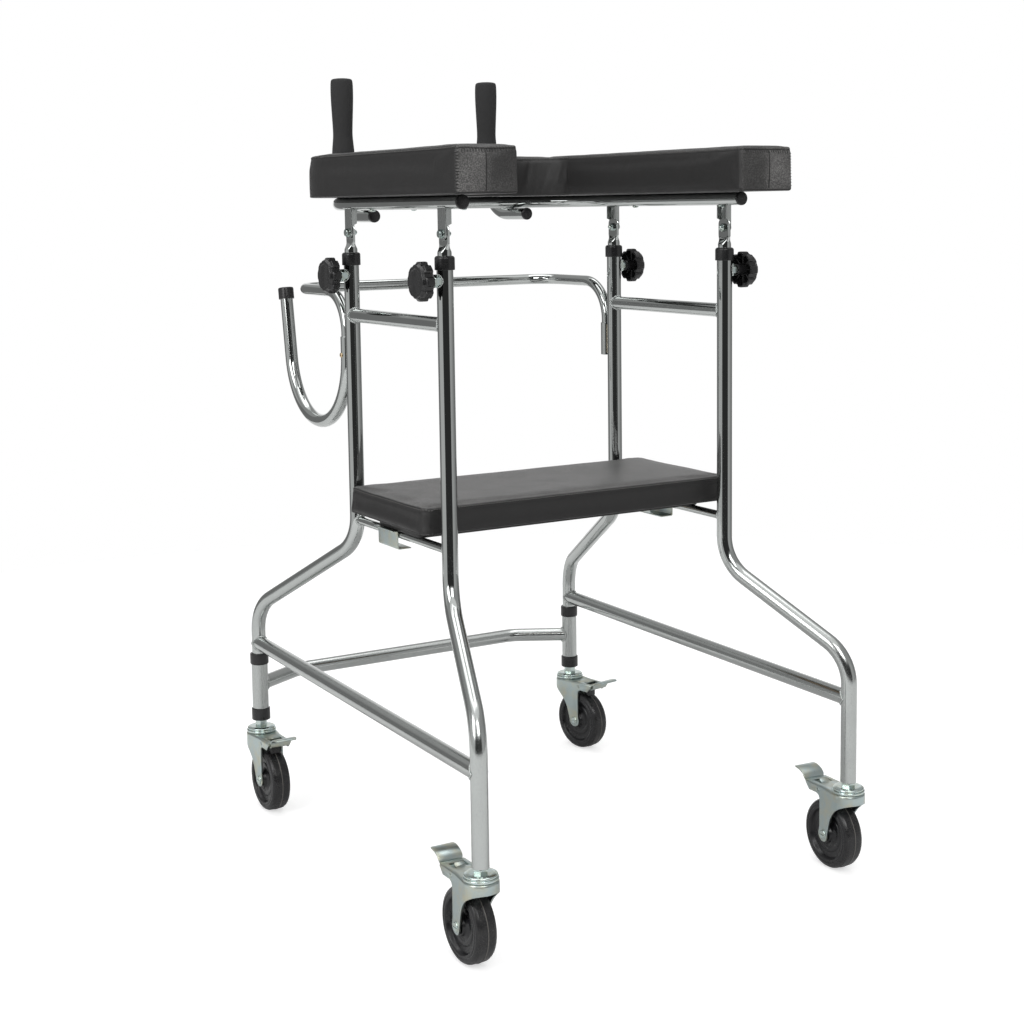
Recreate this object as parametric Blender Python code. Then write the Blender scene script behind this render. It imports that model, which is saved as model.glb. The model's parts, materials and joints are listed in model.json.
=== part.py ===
"""Walker with a forearm rest on sliding stems, a seat and four braked casters.

Metres, +Z up. The user stands at -Y and faces +Y, so left is -X. The origin is
on the floor below the middle of the walker's outline.
"""

import math
from collections import namedtuple

import bmesh
import bpy
from mathutils import Matrix, Vector

# Clearances
SEAT_GAP = 0.0003
RUNNING_GAP = 0.0004
TURNING_GAP = 0.0005
WELD_SINK = 0.0010

# Facets
TUBE_SIDES = 10
SMALL_SIDES = 8
CASTER_SIDES = 12
WHEEL_SIDES = 18
BEND_STEP = math.radians(20)
TIGHT_BEND_STEP = math.radians(30)
SHARP_ANGLE = math.radians(35)
CUT_BEYOND = 0.005

# Frame tube
TUBE_R = 0.0111
TUBE_WALL = 0.0012
TUBE_BORE_R = TUBE_R - TUBE_WALL

# Casters, from the floor up
WHEEL_R = 0.050
WHEEL_HALF_WIDTH = 0.015
WHEEL_HUB_R = 0.013
WHEEL_HUB_HALF = 0.0161
WHEEL_WEB_HALF = 0.009
WHEEL_RIM_R = 0.037
WHEEL_CHAMFER = 0.005
TREAD_RIDGE = 0.0006
AXLE_R = 0.004
AXLE_HEAD_R = 0.0065
AXLE_HEAD = 0.002
TRAIL = 0.032
SHEET = 0.0025
FLANGE_X = 0.0190
CROWN_R = 0.0235
CROWN_SKIRT = 0.014
FORK_REAR = 0.0734
PLATE_ABOVE_WHEEL = 0.0195
FLANGE_DEPTH = 0.0125
FORK_LEG_REAR = 0.0085
FORK_BOSS_R = 0.0105
ARCH_R = 0.0525
ARCH_CENTRE_Y = -0.035
ARCH_ANGLES = (60, 14)
BOSS_ANGLES = (175, 380)
CROWN_ANGLES = (15, -195)
KINGPIN_R = 0.006
RIVET_R = 0.010
RIVET = 0.003
RACE_R = 0.022
RACE = 0.0082
RACE_CHAMFER = 0.0022
NUT_AF = 0.017
NUT = 0.0057
PLUG_LENGTH = 0.035
WINDOW_HALF = 0.008
WINDOW_START = 0.051
WINDOW_END = 0.065

# Brake pedal
PEDAL_SHEET = 0.002
PEDAL_PIN_Y = 0.044
PEDAL_PIN_DROP = 0.0070
PEDAL_PIN_R = 0.0022
PEDAL_FRONT = 0.006
PEDAL_HALF = FLANGE_X - SHEET - TURNING_GAP
TAB_HALF = 0.0175
TAB_RISE = 0.0205
TAB_REACH = 0.0200
TAB_RISER = (0.15, 0.15)
TAB_BEND = (0.25, 0.55)
TAB_CURL = (0.55, 0.88)
TAB_LIP_WIDTH = 0.85
SHOE_HALF = 0.008
SHOE_REST_GAP = 0.0026
SHOE_ANGLES = (8, 18, 28)

PLATE_TOP = 2 * WHEEL_R + PLATE_ABOVE_WHEEL
RACE_BOTTOM = PLATE_TOP + SEAT_GAP
RACE_TOP = RACE_BOTTOM + RACE
PEDAL_PIN_Z = PLATE_TOP - PEDAL_PIN_DROP

# Legs
UPRIGHT_X = 0.228
UPRIGHT_Y = 0.143
LEG_TOP = 0.881
SEAT_RAIL_Z = 0.492
REAR_BEND_DROP = 0.068
FRONT_BEND_DROP = 0.033
REAR_KNEE_Z = 0.313
FRONT_KNEE_Z = 0.322
LEG_BEND_R = 0.065
REAR_FOOT_X = 0.2975
REAR_FOOT_Y = 0.338
FRONT_FOOT_X = 0.2915
FRONT_FOOT_Y = 0.3875
REAR_LEG_BOTTOM = RACE_TOP + NUT + SEAT_GAP
FRONT_LEG_RAISE = 0.006
FRONT_LEG_BOTTOM = REAR_LEG_BOTTOM + FRONT_LEG_RAISE

# Collars on the tube ends and round the front legs
COLLAR_WALL = 0.0020
COLLAR_HEIGHT = 0.0185
COLLAR_LIP = 0.0022
COLLAR_CHAMFER = 0.0010
FOOT_COLLAR_R = 0.0145
FOOT_COLLAR_LIP = 0.0010
RING_HEIGHT = 0.017

# Rails between the legs
TOP_RAIL_R = 0.010
TOP_RAIL_DROP = 0.088
LOWER_RAIL_BELOW_KNEE = 0.0585
SEAT_RAIL_R = 0.006
SEAT_RAIL_WALL = 0.0010

# Lower front bar
SLEEVE_R = 0.0127
SLEEVE_HEIGHT = 0.0717
FRONT_BAR_ABOVE_SLEEVE_FOOT = 0.038
FRONT_BAR_Y = 0.438
FRONT_BAR_HALF = 0.203
FRONT_BAR_BEND_R = 0.060

# Upper front bar, its socket and the side hook
HOOP_R = 0.00825
HOOP_WALL = 0.0012
HOOP_DROP = 0.056
HOOP_REACH = 0.181
HOOP_RISE_R = 0.060
HOOP_CORNER_R = 0.045
SOCKET_WALL = 0.0012
SOCKET_BORE_R = HOOP_R + SEAT_GAP
SOCKET_R = SOCKET_BORE_R + SOCKET_WALL
SOCKET_DROP = 0.1205
SOCKET_HEIGHT = 0.0512
PLUG_IN_SOCKET = 0.028
WELD_BEAD_HALF = 0.003
HOOK_LIMB = 0.0305
HOOK_R = 0.104
HOOK_SWEEP = math.radians(171.4)
HOOK_FAR_LIMB = 0.108
HOOK_CAP_R = 0.012
HOOK_CAP_HEIGHT = 0.018
HOOK_CAP_TOP = 0.003

# Stems, flattened at the top, and the knobs that clamp them
STEM_R = TUBE_BORE_R - RUNNING_GAP
STEM_WALL = 0.0010
STEM_BELOW = 0.260
STEM_SHOWS = 0.0025
STEM_CREASE = 0.013
STEM_FLAT_HALF = 0.0015
STEM_FLAT = 0.012
STEM_BORE_END = 0.004
STEM_PINCH = 0.62
STEM_TIP_WIDTH = 0.72
BOLT_ABOVE_CREASE = 0.013
KNOB_DROP = 0.030
WELD_NUT_AF = 0.015
WELD_NUT = 0.008
KNOB_R = 0.026
KNOB_LOBES = 8
KNOB_POINTS = 4
LOBE_DEPTH = 0.0035
LOBE_FULLNESS = 0.7
KNOB_DEPTH = 0.024
KNOB_SHOULDER = 0.005
KNOB_WALL = 0.0028
KNOB_FRONT = 0.006
KNOB_HUB_R = 0.0080
KNOB_STANDOFF = 0.0045
KNOB_RIB = 0.0020
STUD_R = 0.004

# Forearm rest
ARM_TUBE_R = 0.00925
ARM_TUBE_WALL = 0.0012
ARM_INSIDE_BRACKET = 0.0055
ARM_REAR = 0.185
ARM_FRONT = 0.298
ARM_CORNER_R = 0.140
ARM_ABOVE_BOLT = 0.041
BRACKET_SHEET = 0.0018
BRACKET_HALF = 0.011
BRACKET_FLANGE = 0.0068
BRACKET_FLANGE_START = 0.0150
BRACKET_END = 0.009
BRACKET_END_ANGLES = (150, 30)
CAP_HEAD = 0.004
CAP_RIM = 0.0003
CAP_PLUG = 0.012
PAD_HALF = 0.266
PAD_ARM = 0.090
PAD_REAR = 0.248
PAD_FRONT = 0.337
PAD_CORNER_R = 0.150
PAD_INNER_R = 0.060
PAD_END_R = 0.012
PAD_THICKNESS = 0.0615
CUSHION_EDGE = 0.005

# Hand grips
GRIP_X = 0.130
GRIP_Y = 0.372
HANDLE_LENGTH = 0.116
HANDLE_BEND_R = 0.062
HANDLE_SPLAY = math.radians(2.7)
GRIP_FOOT_ABOVE_TUBE = 0.071
GRIP_LENGTH = 0.144
GRIP_END = 0.006
GRIP_FOOT_BAND = 0.003
GRIP_FOOT_TAPER = 0.012
GRIP_WAIST_TOP = 0.065
GRIP_SWELL = 0.115
GRIP_EDGE = 0.004
GRIP_TOP_R = 0.0170
GRIP_WAIST_R = 0.0152
GRIP_FOOT_R = 0.0180

# Seat
SEAT_BEYOND_UPRIGHT = 0.0276
SEAT_REAR = 0.121
SEAT_FRONT = 0.110
SEAT_CORNER_R = 0.035
SEAT_THICKNESS = 0.037
BOARD_THICKNESS = 0.012
BOARD_INSET = 0.012
CLIP_SHEET = 0.0015
CLIP_START = -0.003
CLIP_END = 0.0576
CLIP_DROP = 0.015
CLIP_FOOT = 0.020
CLIP_FLANGE = 0.008

# Places worked out from the sizes above
COLLAR_TOP = LEG_TOP + SEAT_GAP + COLLAR_LIP
KNOB_Z = LEG_TOP - KNOB_DROP
CREASE_Z = COLLAR_TOP + STEM_SHOWS
FLAT_Z = CREASE_Z + STEM_CREASE
BOLT_Z = FLAT_Z + BOLT_ABOVE_CREASE
ARM_Z = BOLT_Z + ARM_ABOVE_BOLT
PAD_Z = ARM_Z + ARM_TUBE_R + SEAT_GAP
HANDLE_Z = ARM_Z - 2 * ARM_TUBE_R - SEAT_GAP
SOCKET_TOP = LEG_TOP - SOCKET_DROP
SOCKET_Y = UPRIGHT_Y + TUBE_R + SEAT_GAP + SOCKET_R
HOOP_Z = LEG_TOP - HOOP_DROP
FOOT_COLLAR_BOTTOM = FRONT_LEG_BOTTOM - SEAT_GAP - FOOT_COLLAR_LIP
SLEEVE_BOTTOM = FOOT_COLLAR_BOTTOM + COLLAR_HEIGHT + SEAT_GAP
SLEEVE_TOP = SLEEVE_BOTTOM + SLEEVE_HEIGHT
FRONT_BAR_Z = SLEEVE_BOTTOM + FRONT_BAR_ABOVE_SLEEVE_FOOT
BOARD_Z = SEAT_RAIL_Z + SEAT_RAIL_R + SEAT_GAP
CUSHION_Z = BOARD_Z + BOARD_THICKNESS + SEAT_GAP
BRACKET_X = UPRIGHT_X + STEM_FLAT_HALF + SEAT_GAP
ARM_HALF = BRACKET_X - ARM_INSIDE_BRACKET
SEAT_HALF = UPRIGHT_X + SEAT_BEYOND_UPRIGHT
CENTRE_Y = (FRONT_BAR_Y + TUBE_R - REAR_FOOT_Y - CROWN_R) / 2

Corner = namedtuple("Corner", "name side end foot bend knee bottom nut_top heading")
Look = namedtuple("Look", "colour roughness metallic")

CORNERS = [
    Corner(
        f"{end_name}_{side_name}",
        side,
        end,
        Vector((side * foot_x, end * foot_y, 0)),
        SEAT_RAIL_Z - drop,
        knee,
        bottom,
        nut_top,
        math.radians(heading),
    )
    for end_name, end, foot_x, foot_y, drop, knee, bottom, nut_top, headings in (
        ("rear", -1, REAR_FOOT_X, REAR_FOOT_Y, REAR_BEND_DROP, REAR_KNEE_Z,
         REAR_LEG_BOTTOM, REAR_LEG_BOTTOM - SEAT_GAP, (0, 3)),
        ("front", 1, FRONT_FOOT_X, FRONT_FOOT_Y, FRONT_BEND_DROP, FRONT_KNEE_Z,
         FRONT_LEG_BOTTOM, FOOT_COLLAR_BOTTOM - SEAT_GAP, (180, 170)),
    )
    for side_name, side, heading in (("left", -1, headings[0]), ("right", 1, headings[1]))
]

LOOKS = {
    "chrome": Look((0.62, 0.62, 0.63), 0.10, 1.0),
    "zinc": Look((0.55, 0.61, 0.64), 0.32, 1.0),
    "black_plastic": Look((0.018, 0.018, 0.019), 0.45, 0.0),
    "wheel_rubber": Look((0.020, 0.020, 0.022), 0.30, 0.0),
    "foam": Look((0.022, 0.022, 0.023), 0.80, 0.0),
    "vinyl": Look((0.028, 0.027, 0.027), 0.38, 0.0),
    "plywood": Look((0.42, 0.29, 0.17), 0.65, 0.0),
}


def clear_scene():
    for item in list(bpy.data.objects):
        bpy.data.objects.remove(item, do_unlink=True)


# Mesh helpers


def inscribed(radius, sides):
    """Radius of the circle inside a ring of this many sides."""
    return radius * math.cos(math.pi / sides)


def circumscribed(radius, sides):
    """Radius of a ring of this many sides round a circle."""
    return radius / math.cos(math.pi / sides)


def hexagon(across_flats):
    """Radius of a hexagon at an angle, for a turned profile."""

    def reach(angle):
        off_flat = (angle % (math.pi / 3)) - math.pi / 6
        return across_flats / 2 / math.cos(off_flat)

    return reach


def lobed(radius, depth):
    """Radius of a knob's outline at an angle: round lobes with narrow valleys."""

    def reach(angle):
        return radius - depth + depth * abs(math.cos(KNOB_LOBES * angle / 2)) ** LOBE_FULLNESS

    return reach


def arc(centre, radius, start, end, steps):
    """Points on a circle from one angle to another, in degrees."""
    angles = [math.radians(start + (end - start) * step / steps) for step in range(steps + 1)]
    return [(centre[0] + radius * math.cos(a), centre[1] + radius * math.sin(a)) for a in angles]


def skin(bm, rings):
    """Faces between each ring of vertices and the next."""
    for near, far in zip(rings, rings[1:]):
        for index, vert in enumerate(near):
            after = (index + 1) % len(near)
            bm.faces.new((vert, near[after], far[after], far[index]))


def cap_ends(bm, rings):
    bm.faces.new(rings[0])
    bm.faces.new(rings[-1])


def to_mesh(bm, name="piece"):
    """The bmesh as a mesh with its faces pointing out."""
    bmesh.ops.recalc_face_normals(bm, faces=bm.faces)
    mesh = bpy.data.meshes.new(name)
    bm.to_mesh(mesh)
    bm.free()
    return mesh


def turned_rings(bm, profile, sides):
    """Rings about Z, one for each (radius, height); a radius may be a function."""
    rings = []
    for radius, height in profile:
        ring = []
        for index in range(sides):
            angle = 2 * math.pi * index / sides
            reach = radius(angle) if callable(radius) else radius
            ring.append(bm.verts.new((reach * math.cos(angle), reach * math.sin(angle), height)))
        rings.append(ring)
    return rings


def turned(profile, sides=TUBE_SIDES):
    """Solid of revolution about Z, closed flat at both ends."""
    bm = bmesh.new()
    rings = turned_rings(bm, profile, sides)
    skin(bm, rings)
    cap_ends(bm, rings)
    return to_mesh(bm)


def turned_ring(profile, sides=TUBE_SIDES):
    """Ring about Z whose profile is a closed loop."""
    bm = bmesh.new()
    rings = turned_rings(bm, profile, sides)
    skin(bm, rings + rings[:1])
    return to_mesh(bm)


def rod(start, end, radius, sides=TUBE_SIDES, side=(1, 0, 0)):
    """Straight solid rod."""
    start, end = Vector(start), Vector(end)
    direction = (end - start).normalized()
    return swept([(start, direction), (end, direction)], radius, 0, sides, side)


def rounded_path(corners, radii, step=BEND_STEP):
    """Points and directions along straight runs joined by arcs."""
    corners = [Vector(corner) for corner in corners]
    into = (corners[1] - corners[0]).normalized()
    path = [(corners[0], into)]
    for corner, after, radius in zip(corners[1:], corners[2:], radii):
        out = (after - corner).normalized()
        turn = into.angle(out)
        axis = into.cross(out).normalized()
        start = corner - into * radius * math.tan(turn / 2)
        centre = start + axis.cross(into) * radius
        steps = max(2, round(turn / step))
        for count in range(steps + 1):
            swing = Matrix.Rotation(turn * count / steps, 3, axis)
            path.append((centre + swing @ (start - centre), swing @ into))
        into = out
    path.append((corners[-1], into))
    return path


def path_rings(bm, path, radius, sides, side):
    """Rings of vertices round a path, turned with it and not twisted."""
    side = Vector(side)
    direction = path[0][1]
    rings = []
    for point, tangent in path:
        side = direction.rotation_difference(tangent) @ side
        direction = tangent
        ring = []
        for index in range(sides):
            spoke = Matrix.Rotation(2 * math.pi * index / sides, 3, tangent) @ side
            ring.append(bm.verts.new(point + spoke * radius))
        rings.append(ring)
    return rings


def swept(path, radius, bore, sides=TUBE_SIDES, side=(1, 0, 0)):
    """Rod along a path, or an open tube where it has a bore."""
    bm = bmesh.new()
    outer = path_rings(bm, path, radius, sides, side)
    skin(bm, outer)
    if bore:
        inner = path_rings(bm, path, bore, sides, side)
        skin(bm, inner)
        skin(bm, [outer[0], inner[0]])
        skin(bm, [outer[-1], inner[-1]])
    else:
        cap_ends(bm, outer)
    return to_mesh(bm)


def box(low, high):
    bm = bmesh.new()
    bmesh.ops.create_cube(bm, size=1)
    low, high = Vector(low), Vector(high)
    bmesh.ops.scale(bm, vec=high - low, verts=bm.verts)
    bmesh.ops.translate(bm, vec=(low + high) / 2, verts=bm.verts)
    return to_mesh(bm)


def prism(outline, low, high, axis="Z"):
    """Outline extruded along Z; or along X, given as (y, z); or along Y, as (x, z)."""
    bm = bmesh.new()
    place = {
        "Z": lambda point, level: (point[0], point[1], level),
        "X": lambda point, level: (level, point[0], point[1]),
        "Y": lambda point, level: (point[0], level, point[1]),
    }[axis]
    rings = [[bm.verts.new(place(point, level)) for point in outline] for level in (low, high)]
    skin(bm, rings)
    cap_ends(bm, rings)
    return to_mesh(bm)


def cushion(outline, low, high, edge):
    """Outline extruded along Z with its upper and lower edges rounded."""
    bm = bmesh.new()
    face = bm.faces.new([bm.verts.new((x, y, low)) for x, y in outline])
    grown = bmesh.ops.extrude_face_region(bm, geom=[face])
    top = [item for item in grown["geom"] if isinstance(item, bmesh.types.BMVert)]
    bmesh.ops.translate(bm, vec=(0, 0, high - low), verts=top)
    bmesh.ops.recalc_face_normals(bm, faces=bm.faces)
    rims = [e for e in bm.edges if abs(e.verts[0].co.z - e.verts[1].co.z) < edge / 10]
    bmesh.ops.bevel(
        bm, geom=rims, offset=edge, segments=1, profile=0.5, affect="EDGES", clamp_overlap=True
    )
    return to_mesh(bm)


def strip(points, thickness):
    """Bent sheet across X, from (y, z, half width) along its middle."""
    bm = bmesh.new()
    rings = []
    for index, (y, z, half) in enumerate(points):
        before = points[max(index - 1, 0)]
        after = points[min(index + 1, len(points) - 1)]
        along = Vector((after[0] - before[0], after[1] - before[1])).normalized()
        up = Vector((-along.y, along.x)) * thickness / 2
        rings.append(
            [
                bm.verts.new((x, y + up.x * way, z + up.y * way))
                for x, way in ((-half, -1), (half, -1), (half, 1), (-half, 1))
            ]
        )
    skin(bm, rings)
    cap_ends(bm, rings)
    return to_mesh(bm)


def boolean(base, tool, operation):
    """Mesh of the base joined with the tool or cut by it; both are used up."""
    parts = [bpy.data.objects.new("boolean_part", mesh) for mesh in (base, tool)]
    for part in parts:
        bpy.context.scene.collection.objects.link(part)
    modifier = parts[0].modifiers.new("Boolean", "BOOLEAN")
    modifier.object = parts[1]
    modifier.operation = operation
    graph = bpy.context.evaluated_depsgraph_get()
    result = bpy.data.meshes.new_from_object(parts[0].evaluated_get(graph))
    for part in parts:
        bpy.data.objects.remove(part)
    for mesh in (base, tool):
        bpy.data.meshes.remove(mesh)
    return result


def join(base, *tools):
    for tool in tools:
        base = boolean(base, tool, "UNION")
    return base


def cut(base, *tools):
    for tool in tools:
        base = boolean(base, tool, "DIFFERENCE")
    return base


# Scene helpers


def material(look):
    found = bpy.data.materials.get(look)
    if found:
        return found
    made = bpy.data.materials.new(look)
    made.use_nodes = True
    shader = made.node_tree.nodes["Principled BSDF"]
    shader.inputs["Base Color"].default_value = (*LOOKS[look].colour, 1)
    shader.inputs["Roughness"].default_value = LOOKS[look].roughness
    shader.inputs["Metallic"].default_value = LOOKS[look].metallic
    return made


def add(name, mesh, look, parent, location=(0, 0, 0), rotation=(0, 0, 0)):
    """One named sub-part with its material, smooth where it is round."""
    mesh.materials.clear()
    mesh.materials.append(material(look))
    mesh.shade_smooth()
    mesh.set_sharp_from_angle(angle=SHARP_ANGLE)
    part = bpy.data.objects.new(name, mesh)
    part.location = location
    part.rotation_euler = rotation
    part.parent = parent
    bpy.context.scene.collection.objects.link(part)
    return part


def add_empty(name, parent=None, location=(0, 0, 0), heading=0.0):
    """Carrier of what moves together; its heading turns clockwise from +Y."""
    empty = bpy.data.objects.new(name, None)
    empty.location = location
    empty.rotation_euler = (0, 0, -heading)
    empty.parent = parent
    bpy.context.scene.collection.objects.link(empty)
    return empty


# Legs and rails


def upright(corner):
    return Vector((corner.side * UPRIGHT_X, corner.end * UPRIGHT_Y, 0))


def leg_path(corner):
    """Centre line of one leg, from its top down to its foot."""
    top = upright(corner)
    return rounded_path(
        [
            top + Vector((0, 0, LEG_TOP)),
            top + Vector((0, 0, corner.bend)),
            corner.foot + Vector((0, 0, corner.knee)),
            corner.foot + Vector((0, 0, corner.bottom)),
        ],
        [LEG_BEND_R, LEG_BEND_R],
    )


def leg_clearance(corner):
    """Solid of one leg with the gap that what is welded to it keeps."""
    return swept(leg_path(corner), TUBE_R + SEAT_GAP, 0)


def leg(corner):
    """Bent tube with the weld nut for its knob on the outer side."""
    axis = upright(corner) + Vector((0, 0, KNOB_Z))
    out = Vector((corner.side, 0, 0))
    flat_up = (0, 0, 1)
    nut = rod(
        axis + out * (TUBE_R - WELD_SINK),
        axis + out * (TUBE_R + WELD_NUT),
        circumscribed(WELD_NUT_AF / 2, 6),
        6,
        flat_up,
    )
    stud_hole = rod(axis, axis + out * (TUBE_R + 2 * WELD_NUT), STUD_R + TURNING_GAP, SMALL_SIDES, flat_up)
    path = leg_path(corner)
    body = join(swept(path, TUBE_R, 0), nut)
    if corner.name == "front_right":
        body = join(body, *socket_pieces(corner))
    body = cut(body, swept(longer(path), TUBE_BORE_R, 0), stud_hole)
    if corner.name == "front_right":
        body = cut(body, socket_bore(corner))
    return body


def longer(path):
    """The path with its ends moved out, so that a cutter clears both faces."""
    (start, into), (end, out) = path[0], path[-1]
    return [(start - into * CUT_BEYOND, into), *path, (end + out * CUT_BEYOND, out)]


def socket_pieces(corner):
    """Socket of the upper front bar and the weld bead that holds it to its leg."""
    low = SOCKET_TOP - SOCKET_HEIGHT
    x = corner.side * UPRIGHT_X
    socket = rod((x, SOCKET_Y, low), (x, SOCKET_Y, SOCKET_TOP), SOCKET_R, SMALL_SIDES)
    bead = box(
        (x - WELD_BEAD_HALF, UPRIGHT_Y + TUBE_R - WELD_SINK, low + WELD_BEAD_HALF),
        (x + WELD_BEAD_HALF, SOCKET_Y - SOCKET_R + WELD_SINK, SOCKET_TOP - WELD_BEAD_HALF),
    )
    return socket, bead


def socket_bore(corner):
    x = corner.side * UPRIGHT_X
    below = SOCKET_TOP - SOCKET_HEIGHT - SOCKET_R
    return rod((x, SOCKET_Y, below), (x, SOCKET_Y, SOCKET_TOP + SOCKET_R), SOCKET_BORE_R, SMALL_SIDES)


def rail(start, end, radius, wall, legs, sides=TUBE_SIDES):
    """Straight tube from one leg's axis to another's, coped to fit both legs."""
    direction = (Vector(end) - Vector(start)).normalized()
    path = [(Vector(start), direction), (Vector(end), direction)]
    body = swept(path, radius, radius - wall, sides)
    return cut(body, *[leg_clearance(corner) for corner in legs])


def add_side_rails(frame, rear, front, side_name):
    """Top, lower and seat rail between the two legs of one side."""
    top_z = LEG_TOP - TOP_RAIL_DROP
    top = [upright(corner) + Vector((0, 0, top_z)) for corner in (rear, front)]
    low = [corner.foot + Vector((0, 0, corner.knee - LOWER_RAIL_BELOW_KNEE)) for corner in (rear, front)]
    seat = [upright(corner) + Vector((0, 0, SEAT_RAIL_Z)) for corner in (rear, front)]
    legs = (rear, front)
    add(f"top_rail_{side_name}", rail(*top, TOP_RAIL_R, TUBE_WALL, legs), "chrome", frame)
    add(f"lower_rail_{side_name}", rail(*low, TUBE_R, TUBE_WALL, legs), "chrome", frame)
    seat_rail = rail(*seat, SEAT_RAIL_R, SEAT_RAIL_WALL, legs, SMALL_SIDES)
    add(f"seat_rail_{side_name}", seat_rail, "chrome", frame)


def end_collar():
    """Cap ring over an upright's open end; its lip guides the stem. Z from its top down."""
    bore = TUBE_R + SEAT_GAP
    outer = bore + COLLAR_WALL
    lip = STEM_R + RUNNING_GAP
    return turned_ring(
        [
            (bore, -COLLAR_HEIGHT),
            (outer, -COLLAR_HEIGHT),
            (outer, -COLLAR_CHAMFER),
            (outer - COLLAR_CHAMFER, 0),
            (lip, 0),
            (lip, -COLLAR_LIP),
            (bore, -COLLAR_LIP),
        ]
    )


def foot_collar():
    """Ring round a front leg's lower end, with a lip under the tube. Z from its foot up."""
    bore = TUBE_R + SEAT_GAP
    lip = circumscribed(plug_radius() + SEAT_GAP, TUBE_SIDES)
    return turned_ring(
        [
            (bore, COLLAR_HEIGHT),
            (FOOT_COLLAR_R, COLLAR_HEIGHT),
            (FOOT_COLLAR_R, COLLAR_CHAMFER),
            (FOOT_COLLAR_R - COLLAR_CHAMFER, 0),
            (lip, 0),
            (lip, FOOT_COLLAR_LIP),
            (bore, FOOT_COLLAR_LIP),
        ]
    )


def ring_collar():
    """Plain ring round a front leg above the bar's sleeve. Z from its foot up."""
    bore = TUBE_R + SEAT_GAP
    return turned_ring(
        [
            (bore, 0),
            (FOOT_COLLAR_R, 0),
            (FOOT_COLLAR_R, RING_HEIGHT - COLLAR_CHAMFER),
            (FOOT_COLLAR_R - COLLAR_CHAMFER, RING_HEIGHT),
            (bore, RING_HEIGHT),
        ]
    )


def lower_front_bar():
    """Bar across the front, welded to a sleeve that slips over each front leg."""
    ends = [Vector((side * FRONT_FOOT_X, FRONT_FOOT_Y, FRONT_BAR_Z)) for side in (-1, 1)]
    bends = [Vector((side * FRONT_BAR_HALF, FRONT_BAR_Y, FRONT_BAR_Z)) for side in (-1, 1)]
    path = rounded_path([ends[0], bends[0], bends[1], ends[1]], [FRONT_BAR_BEND_R] * 2)
    body = swept(path, TUBE_R, 0, side=(0, 0, 1))
    sleeve_bore = TUBE_R + SEAT_GAP
    for end in ends:
        low = Vector((end.x, end.y, SLEEVE_BOTTOM))
        body = join(body, rod(low, low + Vector((0, 0, SLEEVE_HEIGHT)), SLEEVE_R))
    body = cut(body, swept(path, TUBE_BORE_R, 0, side=(0, 0, 1)))
    for end in ends:
        low = Vector((end.x, end.y, SLEEVE_BOTTOM - TUBE_R))
        high = Vector((end.x, end.y, SLEEVE_TOP + TUBE_R))
        body = cut(body, rod(low, high, sleeve_bore))
    return body


def upper_front_bar():
    """Hoop in front of the uprights; its ends plug into the socket and the hook."""
    low = SOCKET_TOP - PLUG_IN_SOCKET
    front = SOCKET_Y + HOOP_REACH
    corners = [
        (-UPRIGHT_X, SOCKET_Y, low),
        (-UPRIGHT_X, SOCKET_Y, HOOP_Z),
        (-UPRIGHT_X, front, HOOP_Z),
        (UPRIGHT_X, front, HOOP_Z),
        (UPRIGHT_X, SOCKET_Y, HOOP_Z),
        (UPRIGHT_X, SOCKET_Y, low),
    ]
    radii = [HOOP_RISE_R, HOOP_CORNER_R, HOOP_CORNER_R, HOOP_RISE_R]
    path = rounded_path(corners, radii, TIGHT_BEND_STEP)
    return swept(path, HOOP_R, HOOP_R - HOOP_WALL, SMALL_SIDES)


def hook_path():
    """Centre line of the side hook, from the bar's socket round to the far limb."""
    down = Vector((0, 0, -1))
    start = Vector((-UPRIGHT_X, SOCKET_Y, SOCKET_TOP))
    turn = start + down * HOOK_LIMB
    centre = turn + Vector((0, HOOK_R, 0))
    path = [(start, down)]
    steps = round(HOOK_SWEEP / BEND_STEP)
    for count in range(steps + 1):
        swing = Matrix.Rotation(HOOK_SWEEP * count / steps, 3, "X")
        path.append((centre + swing @ (turn - centre), swing @ down))
    point, direction = path[-1]
    path.append((point + direction * HOOK_FAR_LIMB, direction))
    return path


def hook_cap():
    """Cup over the hook's end. Z from the tube's end up along the limb."""
    bore = circumscribed(SOCKET_R + SEAT_GAP, TUBE_SIDES)
    top = SEAT_GAP + HOOK_CAP_TOP
    low = top - HOOK_CAP_HEIGHT
    bm = bmesh.new()
    outside = turned_rings(
        bm,
        [(bore, SEAT_GAP), (bore, low), (HOOK_CAP_R, low), (HOOK_CAP_R, top - COLLAR_CHAMFER),
         (HOOK_CAP_R - COLLAR_CHAMFER, top)],
        TUBE_SIDES,
    )
    skin(bm, outside)
    cap_ends(bm, outside)
    return to_mesh(bm)


def tube_cap(radius, bore, sides):
    """Plastic plug in a tube's end. Z points out of the tube, from its end face."""
    shank = inscribed(bore, sides) - SEAT_GAP
    head = radius + CAP_RIM
    return turned(
        [
            (shank, -CAP_PLUG),
            (shank, SEAT_GAP),
            (head, SEAT_GAP),
            (head, CAP_HEAD - COLLAR_CHAMFER),
            (head - COLLAR_CHAMFER, CAP_HEAD),
        ],
        sides,
    )


# Stems and knobs


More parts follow.
